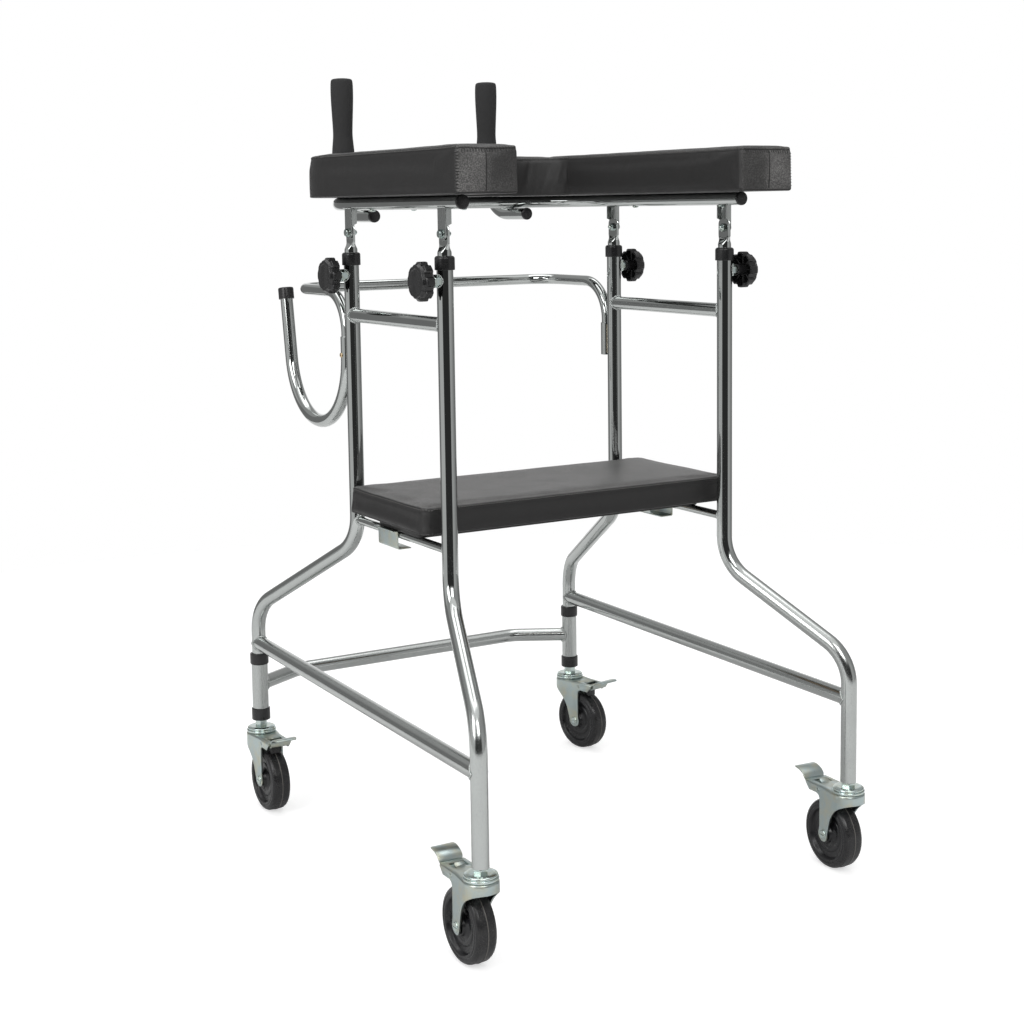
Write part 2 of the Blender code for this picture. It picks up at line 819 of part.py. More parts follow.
def stem():
    """Tube that slides in an upright, pressed flat at the top to take a bolt."""
    bore = STEM_R - STEM_WALL
    flat_width = math.pi * STEM_R / 2
    low = COLLAR_TOP - STEM_BELOW
    flat_top = BOLT_Z + STEM_FLAT
    # Half thickness, half width and flatness at each height
    outside = [
        (STEM_R, STEM_R, 0, low),
        (STEM_R, STEM_R, 0, CREASE_Z),
        (STEM_R * STEM_PINCH, (STEM_R + flat_width) / 2, 0.5, (CREASE_Z + FLAT_Z) / 2),
        (STEM_FLAT_HALF, flat_width, 1, FLAT_Z),
        (STEM_FLAT_HALF, flat_width, 1, flat_top - STEM_FLAT / 2),
        (STEM_FLAT_HALF, flat_width * STEM_TIP_WIDTH, 1, flat_top),
    ]
    inside = [(bore, bore, 0, low), (bore, bore, 0, CREASE_Z - STEM_BORE_END)]
    bm = bmesh.new()
    shells = []
    for sections in (outside, inside):
        rings = []
        for thick, wide, flatness, height in sections:
            ring = []
            for index in range(TUBE_SIDES):
                angle = 2 * math.pi * index / TUBE_SIDES
                across = max(-1, min(1, math.cos(angle) * (1 + flatness)))
                ring.append(bm.verts.new((thick * across, wide * math.sin(angle), height)))
            rings.append(ring)
        skin(bm, rings)
        bm.faces.new(rings[-1])
        shells.append(rings)
    skin(bm, [shells[0][0], shells[1][0]])
    return to_mesh(bm)


def knob():
    """Lobed hand knob, hollow behind, with its hub, ribs and threaded stud.

    Z points out from the upright's axis.
    """
    nut_face = TUBE_R + WELD_NUT
    hub_back = nut_face + SEAT_GAP
    back = hub_back + KNOB_STANDOFF
    front = back + KNOB_DEPTH
    floor = front - KNOB_FRONT
    sides = KNOB_LOBES * KNOB_POINTS
    pocket = KNOB_R - KNOB_WALL
    body = turned(
        [
            (lobed(pocket, LOBE_DEPTH), floor),
            (lobed(pocket, LOBE_DEPTH), back),
            (lobed(KNOB_R, LOBE_DEPTH), back),
            (lobed(KNOB_R, LOBE_DEPTH), front - KNOB_SHOULDER),
            (lobed(KNOB_R - KNOB_SHOULDER, LOBE_DEPTH / 2), front),
        ],
        sides,
    )
    hub = turned(
        [
            (STUD_R, STEM_R + SEAT_GAP),
            (STUD_R, hub_back),
            (KNOB_HUB_R, hub_back),
            (KNOB_HUB_R, floor + KNOB_FRONT / 2),
        ],
        SMALL_SIDES,
    )
    reach = KNOB_R - LOBE_DEPTH - KNOB_WALL / 2
    ribs = [
        box((-reach, -KNOB_RIB / 2, back + KNOB_RIB), (reach, KNOB_RIB / 2, floor + KNOB_RIB)),
        box((-KNOB_RIB / 2, -reach, back + KNOB_RIB), (KNOB_RIB / 2, reach, floor + KNOB_RIB)),
    ]
    return join(body, *ribs, hub)


# Forearm rest


def bracket(side, y):
    """Channel under the arm tube: a web with a round end and two short flanges."""
    outline = [(y + BRACKET_HALF, ARM_Z), (y - BRACKET_HALF, ARM_Z), (y - BRACKET_HALF, BOLT_Z)]
    outline += [
        (y + across * BRACKET_HALF, BOLT_Z - down * BRACKET_END)
        for across, down in arc((0, 0), 1, *BRACKET_END_ANGLES, 4)
    ]
    outline += [(y + BRACKET_HALF, BOLT_Z)]
    near, far = sorted((side * BRACKET_X, side * (BRACKET_X + BRACKET_SHEET)))
    web = prism(outline, near, far, "X")
    near, far = sorted((side * (BRACKET_X + BRACKET_SHEET), side * (BRACKET_X - BRACKET_FLANGE)))
    flange_low = BOLT_Z + BRACKET_FLANGE_START
    flanges = [
        box((near, edge, flange_low), (far, edge + BRACKET_SHEET, ARM_Z))
        for edge in (y - BRACKET_HALF, y + BRACKET_HALF - BRACKET_SHEET)
    ]
    return join(web, *flanges)


def armrest_tube():
    """U tube under the pad with the four brackets that the stems bolt to."""
    corners = [
        (-ARM_HALF, -ARM_REAR, ARM_Z),
        (-ARM_HALF, ARM_FRONT, ARM_Z),
        (ARM_HALF, ARM_FRONT, ARM_Z),
        (ARM_HALF, -ARM_REAR, ARM_Z),
    ]
    path = rounded_path(corners, [ARM_CORNER_R] * 2)
    up = (0, 0, 1)
    body = swept(path, ARM_TUBE_R, 0, SMALL_SIDES, up)
    for corner in CORNERS:
        body = join(body, bracket(corner.side, corner.end * UPRIGHT_Y))
    return cut(body, swept(longer(path), ARM_TUBE_R - ARM_TUBE_WALL, 0, SMALL_SIDES, up))


def armrest_pad():
    """U-shaped upholstered pad with wide front corners."""
    inner = PAD_HALF - PAD_ARM
    inner_front = PAD_FRONT - PAD_ARM
    right = arc((PAD_HALF - PAD_END_R, -PAD_REAR + PAD_END_R), PAD_END_R, -90, 0, 2)
    right += arc((PAD_HALF - PAD_CORNER_R, PAD_FRONT - PAD_CORNER_R), PAD_CORNER_R, 0, 90, 8)
    back = arc((inner - PAD_INNER_R, inner_front - PAD_INNER_R), PAD_INNER_R, 90, 0, 4)
    back += arc((inner + PAD_END_R, -PAD_REAR + PAD_END_R), PAD_END_R, 180, 270, 2)
    left = [(-x, y) for x, y in reversed(right)]
    left_back = [(-x, y) for x, y in reversed(back)]
    return cushion(right + left + left_back + back, 0, PAD_THICKNESS, CUSHION_EDGE)


def handle_tube():
    """L tube under the front of the U tube, turned up into the hand grip.

    The grip's axis is Z; the tube's other end is at -Y.
    """
    grip_top = GRIP_FOOT_ABOVE_TUBE + GRIP_LENGTH - GRIP_END - SEAT_GAP
    path = rounded_path([(0, -HANDLE_LENGTH, 0), (0, 0, 0), (0, 0, grip_top)], [HANDLE_BEND_R])
    return swept(path, ARM_TUBE_R, ARM_TUBE_R - ARM_TUBE_WALL, SMALL_SIDES)


def hand_grip():
    """Closed sleeve over the handle tube, waisted for the hand. Z from its foot up."""
    bore = circumscribed(ARM_TUBE_R + SEAT_GAP, TUBE_SIDES)
    return turned(
        [
            (bore, GRIP_LENGTH - GRIP_END),
            (bore, 0),
            (GRIP_FOOT_R, 0),
            (GRIP_FOOT_R, GRIP_FOOT_BAND),
            (GRIP_WAIST_R, GRIP_FOOT_TAPER),
            (GRIP_WAIST_R, GRIP_WAIST_TOP),
            (GRIP_TOP_R, GRIP_SWELL),
            (GRIP_TOP_R, GRIP_LENGTH - GRIP_EDGE),
            (GRIP_TOP_R - GRIP_EDGE, GRIP_LENGTH),
        ]
    )


# Seat


def rounded_rectangle(half, rear, front, radius, steps=4):
    centres = [
        (half - radius, front - radius, 0),
        (radius - half, front - radius, 90),
        (radius - half, radius - rear, 180),
        (half - radius, radius - rear, 270),
    ]
    return [point for x, y, turn in centres for point in arc((x, y), radius, turn, turn + 90, steps)]


def seat_cushion():
    outline = rounded_rectangle(SEAT_HALF, SEAT_REAR, SEAT_FRONT, SEAT_CORNER_R)
    return cushion(outline, 0, SEAT_THICKNESS, CUSHION_EDGE)


def seat_board():
    outline = rounded_rectangle(
        SEAT_HALF - BOARD_INSET,
        SEAT_REAR - BOARD_INSET,
        SEAT_FRONT - BOARD_INSET,
        SEAT_CORNER_R - BOARD_INSET,
    )
    return prism(outline, 0, BOARD_THICKNESS)


def seat_clip():
    """Sheet clip under the board that hooks beneath the seat rail.

    Modelled for the right side about the rail's axis; Z from the rail's axis.
    """
    plate = SEAT_RAIL_R + SEAT_GAP
    under = SEAT_RAIL_R
    foot = -SEAT_RAIL_R - CLIP_DROP
    outline = [
        (plate, under),
        (plate, foot + CLIP_SHEET),
        (plate - CLIP_FOOT, foot + CLIP_SHEET),
        (plate - CLIP_FOOT, foot),
        (plate + CLIP_SHEET, foot),
        (plate + CLIP_SHEET, under - CLIP_SHEET),
        (plate + CLIP_FLANGE, under - CLIP_SHEET),
        (plate + CLIP_FLANGE, under),
    ]
    return prism(outline, CLIP_START, CLIP_END, "Y")


# Casters, each about its own swivel axis with the wheel trailing along +Y


def plug_radius():
    return inscribed(TUBE_BORE_R, TUBE_SIDES) - SEAT_GAP


def caster_mount(nut_top):
    """Plug in the leg, hexagon, race cap and the kingpin that carries the fork."""
    plug = plug_radius()
    under = PLATE_TOP - SHEET - TURNING_GAP
    return turned(
        [
            (plug, nut_top + PLUG_LENGTH),
            (plug, nut_top),
            (hexagon(NUT_AF), nut_top),
            (hexagon(NUT_AF), RACE_TOP),
            (RACE_R - RACE_CHAMFER, RACE_TOP),
            (RACE_R, RACE_TOP - RACE_CHAMFER),
            (RACE_R, RACE_BOTTOM),
            (KINGPIN_R, RACE_BOTTOM),
            (KINGPIN_R, under),
            (RIVET_R, under),
            (RIVET_R, under - RIVET),
        ],
        CASTER_SIDES,
    )


def crown_outline(inset, rear):
    """Plan of the fork: round in front of the kingpin, straight behind it."""
    half = FLANGE_X - inset
    front = arc((0, 0), CROWN_R - inset, *CROWN_ANGLES, 10)
    return [(half, rear), (half, TRAIL), *front, (-half, TRAIL), (-half, rear)]


def fork_side():
    """Side view of the fork's sheet: crown skirt, wheel arch, leg, boss and tail."""
    tail_low = PLATE_TOP - FLANGE_DEPTH
    leg_rear = TRAIL + FORK_LEG_REAR
    outline = [(-2 * CROWN_R, PLATE_TOP + SHEET), (-2 * CROWN_R, PLATE_TOP - CROWN_SKIRT)]
    outline += [(-CROWN_R, PLATE_TOP - CROWN_SKIRT)]
    outline += arc((ARCH_CENTRE_Y, WHEEL_R), ARCH_R, *ARCH_ANGLES, 4)
    outline += arc((TRAIL, WHEEL_R), FORK_BOSS_R, *BOSS_ANGLES, 6)
    outline += [(leg_rear, WHEEL_R + FORK_BOSS_R)]
    outline += arc((leg_rear + FORK_LEG_REAR, tail_low - FORK_LEG_REAR), FORK_LEG_REAR, 180, 90, 3)
    outline += [(FORK_REAR - FORK_LEG_REAR, tail_low)]
    outline += [(FORK_REAR, PLATE_TOP - SHEET), (FORK_REAR, PLATE_TOP + SHEET)]
    return outline


def kingpin_hole_radius():
    return circumscribed(KINGPIN_R + TURNING_GAP, TUBE_SIDES)


def caster_fork():
    """Pressed sheet fork with its riveted axle."""
    wide = 2 * CROWN_R
    body = prism(crown_outline(0, FORK_REAR + SHEET), 0, PLATE_TOP)
    body = cut(body, prism(crown_outline(SHEET, 2 * FORK_REAR), -SHEET, PLATE_TOP - SHEET))
    body = boolean(body, prism(fork_side(), -wide, wide, "X"), "INTERSECT")
    below, above = PLATE_TOP - 2 * SHEET, PLATE_TOP + SHEET
    kingpin_hole = rod((0, 0, below), (0, 0, above), kingpin_hole_radius(), TUBE_SIDES)
    pin_axis = Vector((0, PEDAL_PIN_Y, PEDAL_PIN_Z))
    across = Vector((wide, 0, 0))
    pin_hole = rod(pin_axis - across, pin_axis + across, PEDAL_PIN_R + TURNING_GAP, SMALL_SIDES, (0, 0, 1))
    window = box((-WINDOW_HALF, WINDOW_START, below), (WINDOW_HALF, WINDOW_END, above))
    body = cut(body, kingpin_hole, pin_hole, window)
    head_out = FLANGE_X + AXLE_HEAD
    head_in = FLANGE_X - SHEET / 2
    axle = turned(
        [(AXLE_HEAD_R, -head_out), (AXLE_HEAD_R, -head_in), (AXLE_R, -head_in),
         (AXLE_R, head_in), (AXLE_HEAD_R, head_in), (AXLE_HEAD_R, head_out)],
        SMALL_SIDES,
    )
    axle.transform(Matrix.Translation((0, TRAIL, WHEEL_R)) @ Matrix.Rotation(math.radians(90), 4, "Y"))
    return join(body, axle)


def caster_wheel():
    """Wheel about X, with a hub, dished web and a tread with a mould ridge.

    A facet of the tread lies on the floor, at the round wheel's own radius.
    """
    bore = AXLE_R + TURNING_GAP
    tread = circumscribed(WHEEL_R, WHEEL_SIDES)
    side = [
        (bore, WHEEL_HUB_HALF),
        (WHEEL_HUB_R, WHEEL_HUB_HALF),
        (WHEEL_RIM_R, WHEEL_WEB_HALF),
        (WHEEL_RIM_R, WHEEL_HALF_WIDTH),
        (tread - WHEEL_CHAMFER, WHEEL_HALF_WIDTH),
        (tread - TREAD_RIDGE, WHEEL_HALF_WIDTH - WHEEL_CHAMFER),
    ]
    profile = side + [(tread, 0)] + [(radius, -height) for radius, height in reversed(side)]
    mesh = turned_ring(profile, WHEEL_SIDES)
    facet_down = Matrix.Rotation(math.pi / WHEEL_SIDES, 4, "X")
    mesh.transform(facet_down @ Matrix.Rotation(math.radians(90), 4, "Y"))
    return mesh


def caster_pedal():
    """Brake pedal about its pin: lever, raised tab and the shoe over the wheel."""
    flat_end = FORK_REAR - PEDAL_PIN_Y
    sections = [(-PEDAL_FRONT, 0, PEDAL_HALF), (flat_end, 0, PEDAL_HALF)]
    sections += [
        (flat_end + reach * TAB_REACH, rise * TAB_RISE, half)
        for (reach, rise), half in (
            (TAB_RISER, PEDAL_HALF), (TAB_BEND, TAB_HALF), (TAB_CURL, TAB_HALF),
            ((1, 1), TAB_HALF * TAB_LIP_WIDTH),
        )
    ]
    lever = strip(sections, PEDAL_SHEET)
    pin = rod((-FLANGE_X, 0, 0), (FLANGE_X, 0, 0), PEDAL_PIN_R, SMALL_SIDES, (0, 0, 1))
    face = [
        (
            TRAIL - PEDAL_PIN_Y + (WHEEL_R + SHOE_REST_GAP) * math.sin(math.radians(angle)),
            WHEEL_R - PEDAL_PIN_Z + (WHEEL_R + SHOE_REST_GAP) * math.cos(math.radians(angle)),
        )
        for angle in SHOE_ANGLES
    ]
    shoe = prism([(face[-1][0], 0), (face[0][0], 0), *face], -SHOE_HALF, SHOE_HALF, "X")
    return join(lever, pin, shoe)


def add_casters(frame):
    fork, wheel, pedal = caster_fork(), caster_wheel(), caster_pedal()
    mounts = {nut_top: caster_mount(nut_top) for nut_top in sorted({c.nut_top for c in CORNERS})}
    for corner in CORNERS:
        add(f"caster_mount_{corner.name}", mounts[corner.nut_top], "zinc", frame, corner.foot)
        swivel = add_empty(f"caster_swivel_{corner.name}", frame, corner.foot, corner.heading)
        add(f"caster_fork_{corner.name}", fork, "zinc", swivel)
        add(f"caster_wheel_{corner.name}", wheel, "wheel_rubber", swivel, (0, TRAIL, WHEEL_R))
        add(f"caster_pedal_{corner.name}", pedal, "zinc", swivel, (0, PEDAL_PIN_Y, PEDAL_PIN_Z))


# Assembly


def add_frame(frame):
    end_ring = end_collar()
    ring, foot_ring = ring_collar(), foot_collar()
    for corner in CORNERS:
        add(f"leg_{corner.name}", leg(corner), "chrome", frame)
        place = upright(corner) + Vector((0, 0, COLLAR_TOP))
        add(f"tube_collar_{corner.name}", end_ring, "black_plastic", frame, place)
    for side_name, rear, front in (("left", CORNERS[0], CORNERS[2]), ("right", CORNERS[1], CORNERS[3])):
        add_side_rails(frame, rear, front, side_name)
        above = front.foot + Vector((0, 0, SLEEVE_TOP + SEAT_GAP))
        below = front.foot + Vector((0, 0, FOOT_COLLAR_BOTTOM))
        add(f"upper_ring_{side_name}", ring, "black_plastic", frame, above)
        add(f"foot_collar_{side_name}", foot_ring, "black_plastic", frame, below)
    add("lower_front_bar", lower_front_bar(), "chrome", frame)
    add("upper_front_bar", upper_front_bar(), "chrome", frame)
    path = hook_path()
    add("side_hook", swept(path, SOCKET_R, SOCKET_BORE_R, SMALL_SIDES), "chrome", frame)
    end, direction = path[-1]
    lean = Vector((0, 0, 1)).rotation_difference(direction).to_euler()
    add("side_hook_cap", hook_cap(), "black_plastic", frame, end, lean)


def add_knobs(frame):
    mesh = knob()
    for corner in CORNERS:
        place = upright(corner) + Vector((0, 0, KNOB_Z))
        turn = (0, corner.side * math.radians(90), 0)
        add(f"knob_{corner.name}", mesh, "black_plastic", frame, place, turn)


def add_seat(frame):
    add("seat_board", seat_board(), "plywood", frame, (0, 0, BOARD_Z))
    add("seat_cushion", seat_cushion(), "vinyl", frame, (0, 0, CUSHION_Z))
    right = seat_clip()
    left = right.copy()
    left.transform(Matrix.Scale(-1, 4, (1, 0, 0)))
    left.flip_normals()
    add("seat_clip_right", right, "chrome", frame, (UPRIGHT_X, 0, SEAT_RAIL_Z))
    add("seat_clip_left", left, "chrome", frame, (-UPRIGHT_X, 0, SEAT_RAIL_Z))


def add_armrest(frame):
    armrest = add_empty("armrest_slide", frame)
    stem_mesh = stem()
    for corner in CORNERS:
        add(f"stem_{corner.name}", stem_mesh, "chrome", armrest, upright(corner))
    add("armrest_tube", armrest_tube(), "chrome", armrest)
    add("armrest_pad", armrest_pad(), "vinyl", armrest, (0, 0, PAD_Z))
    handle, grip = handle_tube(), hand_grip()
    cap = tube_cap(ARM_TUBE_R, ARM_TUBE_R - ARM_TUBE_WALL, SMALL_SIDES)
    to_rear = math.radians(90)
    for side_name, side in (("left", -1), ("right", 1)):
        arm_end = (side * ARM_HALF, -ARM_REAR, ARM_Z)
        add(f"armrest_cap_{side_name}", cap, "black_plastic", armrest, arm_end, (to_rear, 0, 0))
        grip_foot = (side * GRIP_X, GRIP_Y, HANDLE_Z)
        carrier = add_empty(f"handle_{side_name}", armrest, grip_foot, -side * HANDLE_SPLAY)
        add(f"handle_tube_{side_name}", handle, "chrome", carrier)
        tube_end = (0, -HANDLE_LENGTH, 0)
        add(f"handle_cap_{side_name}", cap, "black_plastic", carrier, tube_end, (to_rear, 0, 0))
        add(f"hand_grip_{side_name}", grip, "foam", carrier, (0, 0, GRIP_FOOT_ABOVE_TUBE))


def main():
    clear_scene()
    frame = add_empty("walker", location=(0, -CENTRE_Y, 0))
    add_frame(frame)
    add_knobs(frame)
    add_seat(frame)
    add_armrest(frame)
    add_casters(frame)


main()
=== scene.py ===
"""Looks of a chromed tube walker with a forearm rest, a seat and four braked casters.

Metres, +Z up. The user stands at -Y and faces +Y, so left is -X. Every piece stands where
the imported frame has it.
"""

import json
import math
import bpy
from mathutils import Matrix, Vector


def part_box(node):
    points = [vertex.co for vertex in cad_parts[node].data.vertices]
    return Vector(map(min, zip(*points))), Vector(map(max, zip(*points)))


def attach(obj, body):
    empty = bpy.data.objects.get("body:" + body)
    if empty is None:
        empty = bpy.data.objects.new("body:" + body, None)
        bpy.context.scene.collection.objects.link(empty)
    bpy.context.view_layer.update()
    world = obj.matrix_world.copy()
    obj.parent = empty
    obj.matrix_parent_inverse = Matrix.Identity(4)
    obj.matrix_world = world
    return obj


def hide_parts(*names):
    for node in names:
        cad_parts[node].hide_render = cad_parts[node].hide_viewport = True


bl_info = {
    "name": "Forearm Walker",
    "version": (1, 0, 0),
    "blender": (4, 5, 0),
    "location": "3D View > Sidebar > Walker",
    "description": "Builds the tubes, upholstery, knobs and casters of a forearm walker",
    "category": "Object",
}

import bmesh
import bpy
from bpy.props import FloatProperty, FloatVectorProperty, IntProperty, PointerProperty
from mathutils import Matrix, Vector, noise
from mathutils.bvhtree import BVHTree

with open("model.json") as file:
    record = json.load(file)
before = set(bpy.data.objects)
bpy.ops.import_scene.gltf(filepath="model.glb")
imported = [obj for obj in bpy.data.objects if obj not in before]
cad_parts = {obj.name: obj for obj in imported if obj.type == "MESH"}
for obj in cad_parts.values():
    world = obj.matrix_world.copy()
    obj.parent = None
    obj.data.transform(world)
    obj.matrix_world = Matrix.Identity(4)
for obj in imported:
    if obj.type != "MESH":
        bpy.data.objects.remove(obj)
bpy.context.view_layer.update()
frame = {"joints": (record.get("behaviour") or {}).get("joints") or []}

LEFT_RIGHT = (("left", -1), ("right", 1))
CORNERS = [(f"{end_name}_{side_name}", side, end)
           for end_name, end in (("rear", -1), ("front", 1))
           for side_name, side in LEFT_RIGHT]
UP = Vector((0, 0, 1))


def middle(node):
    """Centre of a node's box."""
    low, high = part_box(node)
    return (low + high) / 2


def joint_place(name):
    """Point on a joint's axis."""
    return Vector(next(item for item in frame["joints"] if item["name"] == name)["pos_m"])


# Facets
ROUND = 48
SMALL_ROUND = 32
LOBE_POINTS = 16
WHEEL_POINTS = 96
STAGE_POINTS = 96
ARC_STEP = math.radians(5)
SHARP_ANGLE = math.radians(40)
FACET_ANGLE = math.radians(25)
PADDING_ANGLE = math.radians(70)
TINY = 1e-6
ALONG_X = Matrix.Rotation(math.radians(90), 4, "Y")

# Seat between pieces
GAP = 0.0003

# Legs, from their tops down
LEG_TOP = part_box("leg_rear_left")[1].z
SEAT_RAIL_Z = middle("seat_rail_left").z
BEND_DROP = {-1: 0.068, 1: 0.033}
KNEE_Z = {-1: 0.313, 1: 0.322}
LEG_BEND_R = 0.065
COLLAR_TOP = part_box("tube_collar_rear_left")[1].z
KNOB_Z = joint_place("knob_turn_rear_left").z

# Front bars and the side hook
FRONT_BAR_HALF = 0.203
FRONT_BAR_BEND_R = 0.060
HOOP_RISE_R = 0.060
HOOP_CORNER_R = 0.045
HOOK_LIMB = 0.0305
HOOK_R = 0.104
HOOK_SWEEP = math.radians(171.4)
HOOK_FAR_LIMB = 0.108

# Forearm rest
ARM_CORNER_R = 0.140
PAD_ARM = 0.090
PAD_CORNER_R = 0.178
PAD_INNER_R = 0.060
PAD_END_R = 0.006
HANDLE_BEND_R = 0.062

# Seat
SEAT_CORNER_R = 0.014
SEAT_BULGE = 0.004
CLOTH_FRAMES = 20

# Weld nuts and the hoop's sockets
WELD_NUT_AF = 0.015
WELD_NUT = 0.008
WELD_NUT_BORE = 0.0046
SOCKET_TOP = LEG_TOP - 0.1205
SOCKET_HEIGHT = 0.0512
SOCKET_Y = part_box("upper_front_bar")[0].y + 0.00825
SOCKET_NOTCH = 0.0050
PLUG_SCREW_DROP = 0.027

# Knobs
KNOB_HUB = 0.0085
KNOB_FACE = 0.005

# Stems, brackets, caps and handles
STEM_FLAT_HALF = 0.0015
STEM_FLAT = 0.012
STEM_CREASE_Z = COLLAR_TOP + 0.0065
STEM_ARCH = 0.0035
STEM_PRESS = 0.011
BRACKET_SHEET = 0.0018
BRACKET_HALF = 0.011
BRACKET_FLANGE = 0.0072
BRACKET_OUTSIDE = 0.2316
CAP_HEAD = 0.004
HANDLE_LENGTH = 0.116
HANDLE_SPLAY = math.radians(2.7)

# Collars and lower bars
COLLAR_CROWN_R = 0.0036
LIP = 0.0022
FOOT_LIP = 0.0010
FOOT_LIP_R = 0.0103
LOWER_RAIL_DROP = 0.0585
FRONT_BAR_ABOVE_SLEEVE_FOOT = 0.038
FRONT_BAR_Y = 0.3942

# Seat board and clips
HEM = 0.024
BOARD_END_INSET = 0.008
BOARD_SIDE_INSET = 0.050
CLIP_SHEET = 0.0015
CLIP_FLANGE = 0.008

# Casters
PLATE_TOP = 0.1195
RACE_BOTTOM = 0.1198
RACE = 0.0082
PLUG_R = 0.0090
PLUG = 0.034
KINGPIN_R = 0.006
TRAIL = 0.032
FORK_REAR = 0.0734
FLANGE_DEPTH = 0.0125
FORK_LEG = 0.0085
FORK_BOSS_R = 0.0105
CROWN_SKIRT = 0.014
ARCH_R = 0.054
ARCH_CENTRE = (-0.035, 0.053)
WINDOW_HALF = 0.0112
WINDOW_Y = (0.0485, 0.0645)
PEDAL_PIN_Y = 0.044
PEDAL_PIN_Z = 0.1125
PEDAL_PIN_R = 0.0022
TAB_HALF = 0.0175
SHOE_HALF = 0.008
SHOE_GAP = 0.0026
AXLE_R = 0.004

# Stage; angles in degrees
BLACK = (0, 0, 0)
WHITE = (1, 1, 1)
FLOOR_R = 2.4
FLOOR_Z = (-0.02, -0.0004)
SHADOW_EDGE = (0.40, 0.75)
ROOM_R = 9
ROOM_HEIGHT = 9
DARK_WAY = Vector((-0.5106, -0.8598, 0))
DARK_LEVEL = 0.04
SCREEN_EDGES = (
    (37, 42, 0.62), (97, 108, -0.42), (152, 160, 0.66),
    (-45, -50, 0.50), (-66, -118, -0.28), (-152, -160, 0.64),
)
CEILING_Z = (3.6, 4.4)
CEILING_LEVEL = 0.42
CEILING_MIDDLE = (3.6, 3.0)
CEILING_MIDDLE_LEVEL = 0.65

# Lamps: place, aim and size
KEY_LAMP = ((-3.2, -0.9, 2.35), (0, 0, 0.6), (1.6, 2.2))
FILL_LAMP = ((-0.9, -2.9, 2.7), (0, 0, 0.6), (1.6, 1.6))
TOP_LAMP = ((0, 0.4, 3.4), (0, 0, 0.5), (2.6, 2.6))

# Camera; angles in degrees
CAMERA_PLACE = (-1.2985, -2.1868, 0.947)
CAMERA_TURN = -30.31
CAMERA_DOWN = 6.71
CAMERA_ROLL = -0.80
CAMERA_LENS = 60.87
CAMERA_SENSOR = 36.0
CAMERA_SHIFT = -0.10


# Settings


def length(name, description, default):
    return FloatProperty(
        name=name, description=description, default=default, min=0.0, unit="LENGTH", precision=5
    )


def colour(name, description, default):
    return FloatVectorProperty(
        name=name, description=description, default=default, subtype="COLOR", size=3, min=0.0, max=1.0
    )


def amount(name, description, default):
    return FloatProperty(name=name, description=description, default=default, min=0.0)


class WalkerTubeSettings(bpy.types.PropertyGroup):
    """Sizes of the frame's tubes, collars and welds."""

    leg_radius: length("Leg radius", "Outer radius of the legs and lower rails", 0.0111)
    wall: length("Wall", "Wall of the tubes", 0.0012)
    top_rail_radius: length("Top rail radius", "Outer radius of the upper side rails", 0.010)
    seat_rail_radius: length("Seat rail radius", "Outer radius of the rails below the seat", 0.006)
    sleeve_radius: length("Sleeve radius", "Outer radius of the front bar's sleeves", 0.0127)
    hoop_radius: length("Hoop radius", "Outer radius of the upper front bar", 0.00825)
    hook_radius: length("Hook radius", "Outer radius of the side hook and the socket", 0.00975)
    arm_radius: length("Arm tube radius", "Outer radius of the tubes below the forearm pad", 0.00925)
    stem_radius: length("Stem radius", "Outer radius of the sliding stems", 0.0095)
    bead_radius: length("Bead radius", "Half the thickness of a weld bead", 0.0016)
    bead_pitch: length("Bead pitch", "Distance between the ripples of a weld bead", 0.0013)
    collar_radius: length("Collar radius", "Outer radius of the black collars on the uprights", 0.0134)
    foot_collar_radius: length("Foot collar radius", "Outer radius of the rings at the sleeves", 0.0145)


class WalkerPaddingSettings(bpy.types.PropertyGroup):
    """Sizes of the upholstery and its seams."""

    voxel: length("Voxel", "Mesh size of the padding before it swells", 0.005)
    pressure: amount("Pressure", "Pressure that swells the padding", 4.0)
    pad_swell: length("Pad swell", "Most that the forearm pad's surface may move", 0.0022)
    seat_swell: length("Seat swell", "Most that the seat's surface may move", 0.0026)
    edge: length("Edge", "Rounding of the padding's edges", 0.003)
    seam_drop: length("Seam drop", "Distance from the top edge down to the seam", 0.0048)
    seam_depth: length("Seam depth", "Depth of the valley at a seam", 0.0011)
    stitch_pitch: length("Stitch pitch", "Distance from stitch to stitch", 0.0042)
    stitch_length: length("Stitch length", "Length of one stitch", 0.0030)
    thread_radius: length("Thread radius", "Half the thickness of the thread", 0.00045)
    pleat_radius: length("Pleat radius", "Half the length of a pucker at a sewn corner", 0.0042)
    pleat_pitch: length("Pleat pitch", "Distance from pucker to pucker", 0.0038)


class WalkerKnobSettings(bpy.types.PropertyGroup):
    """Sizes of the hand knobs."""

    radius: length("Radius", "Outer radius over the lobes", 0.026)
    lobes: IntProperty(name="Lobes", description="Number of lobes", default=8, min=3, max=16)
    lobe_depth: length("Lobe depth", "Depth of the notches between lobes", 0.0046)
    depth: length("Depth", "Height of the knob's head", 0.0165)
    shoulder: length("Shoulder", "Rounding at the knob's front edge", 0.0045)
    wall: length("Wall", "Wall of the hollow head", 0.0028)
    stud_radius: length("Stud radius", "Outer radius of the threaded stud", 0.004)
    thread_pitch: length("Thread pitch", "Pitch of the stud's thread", 0.00125)


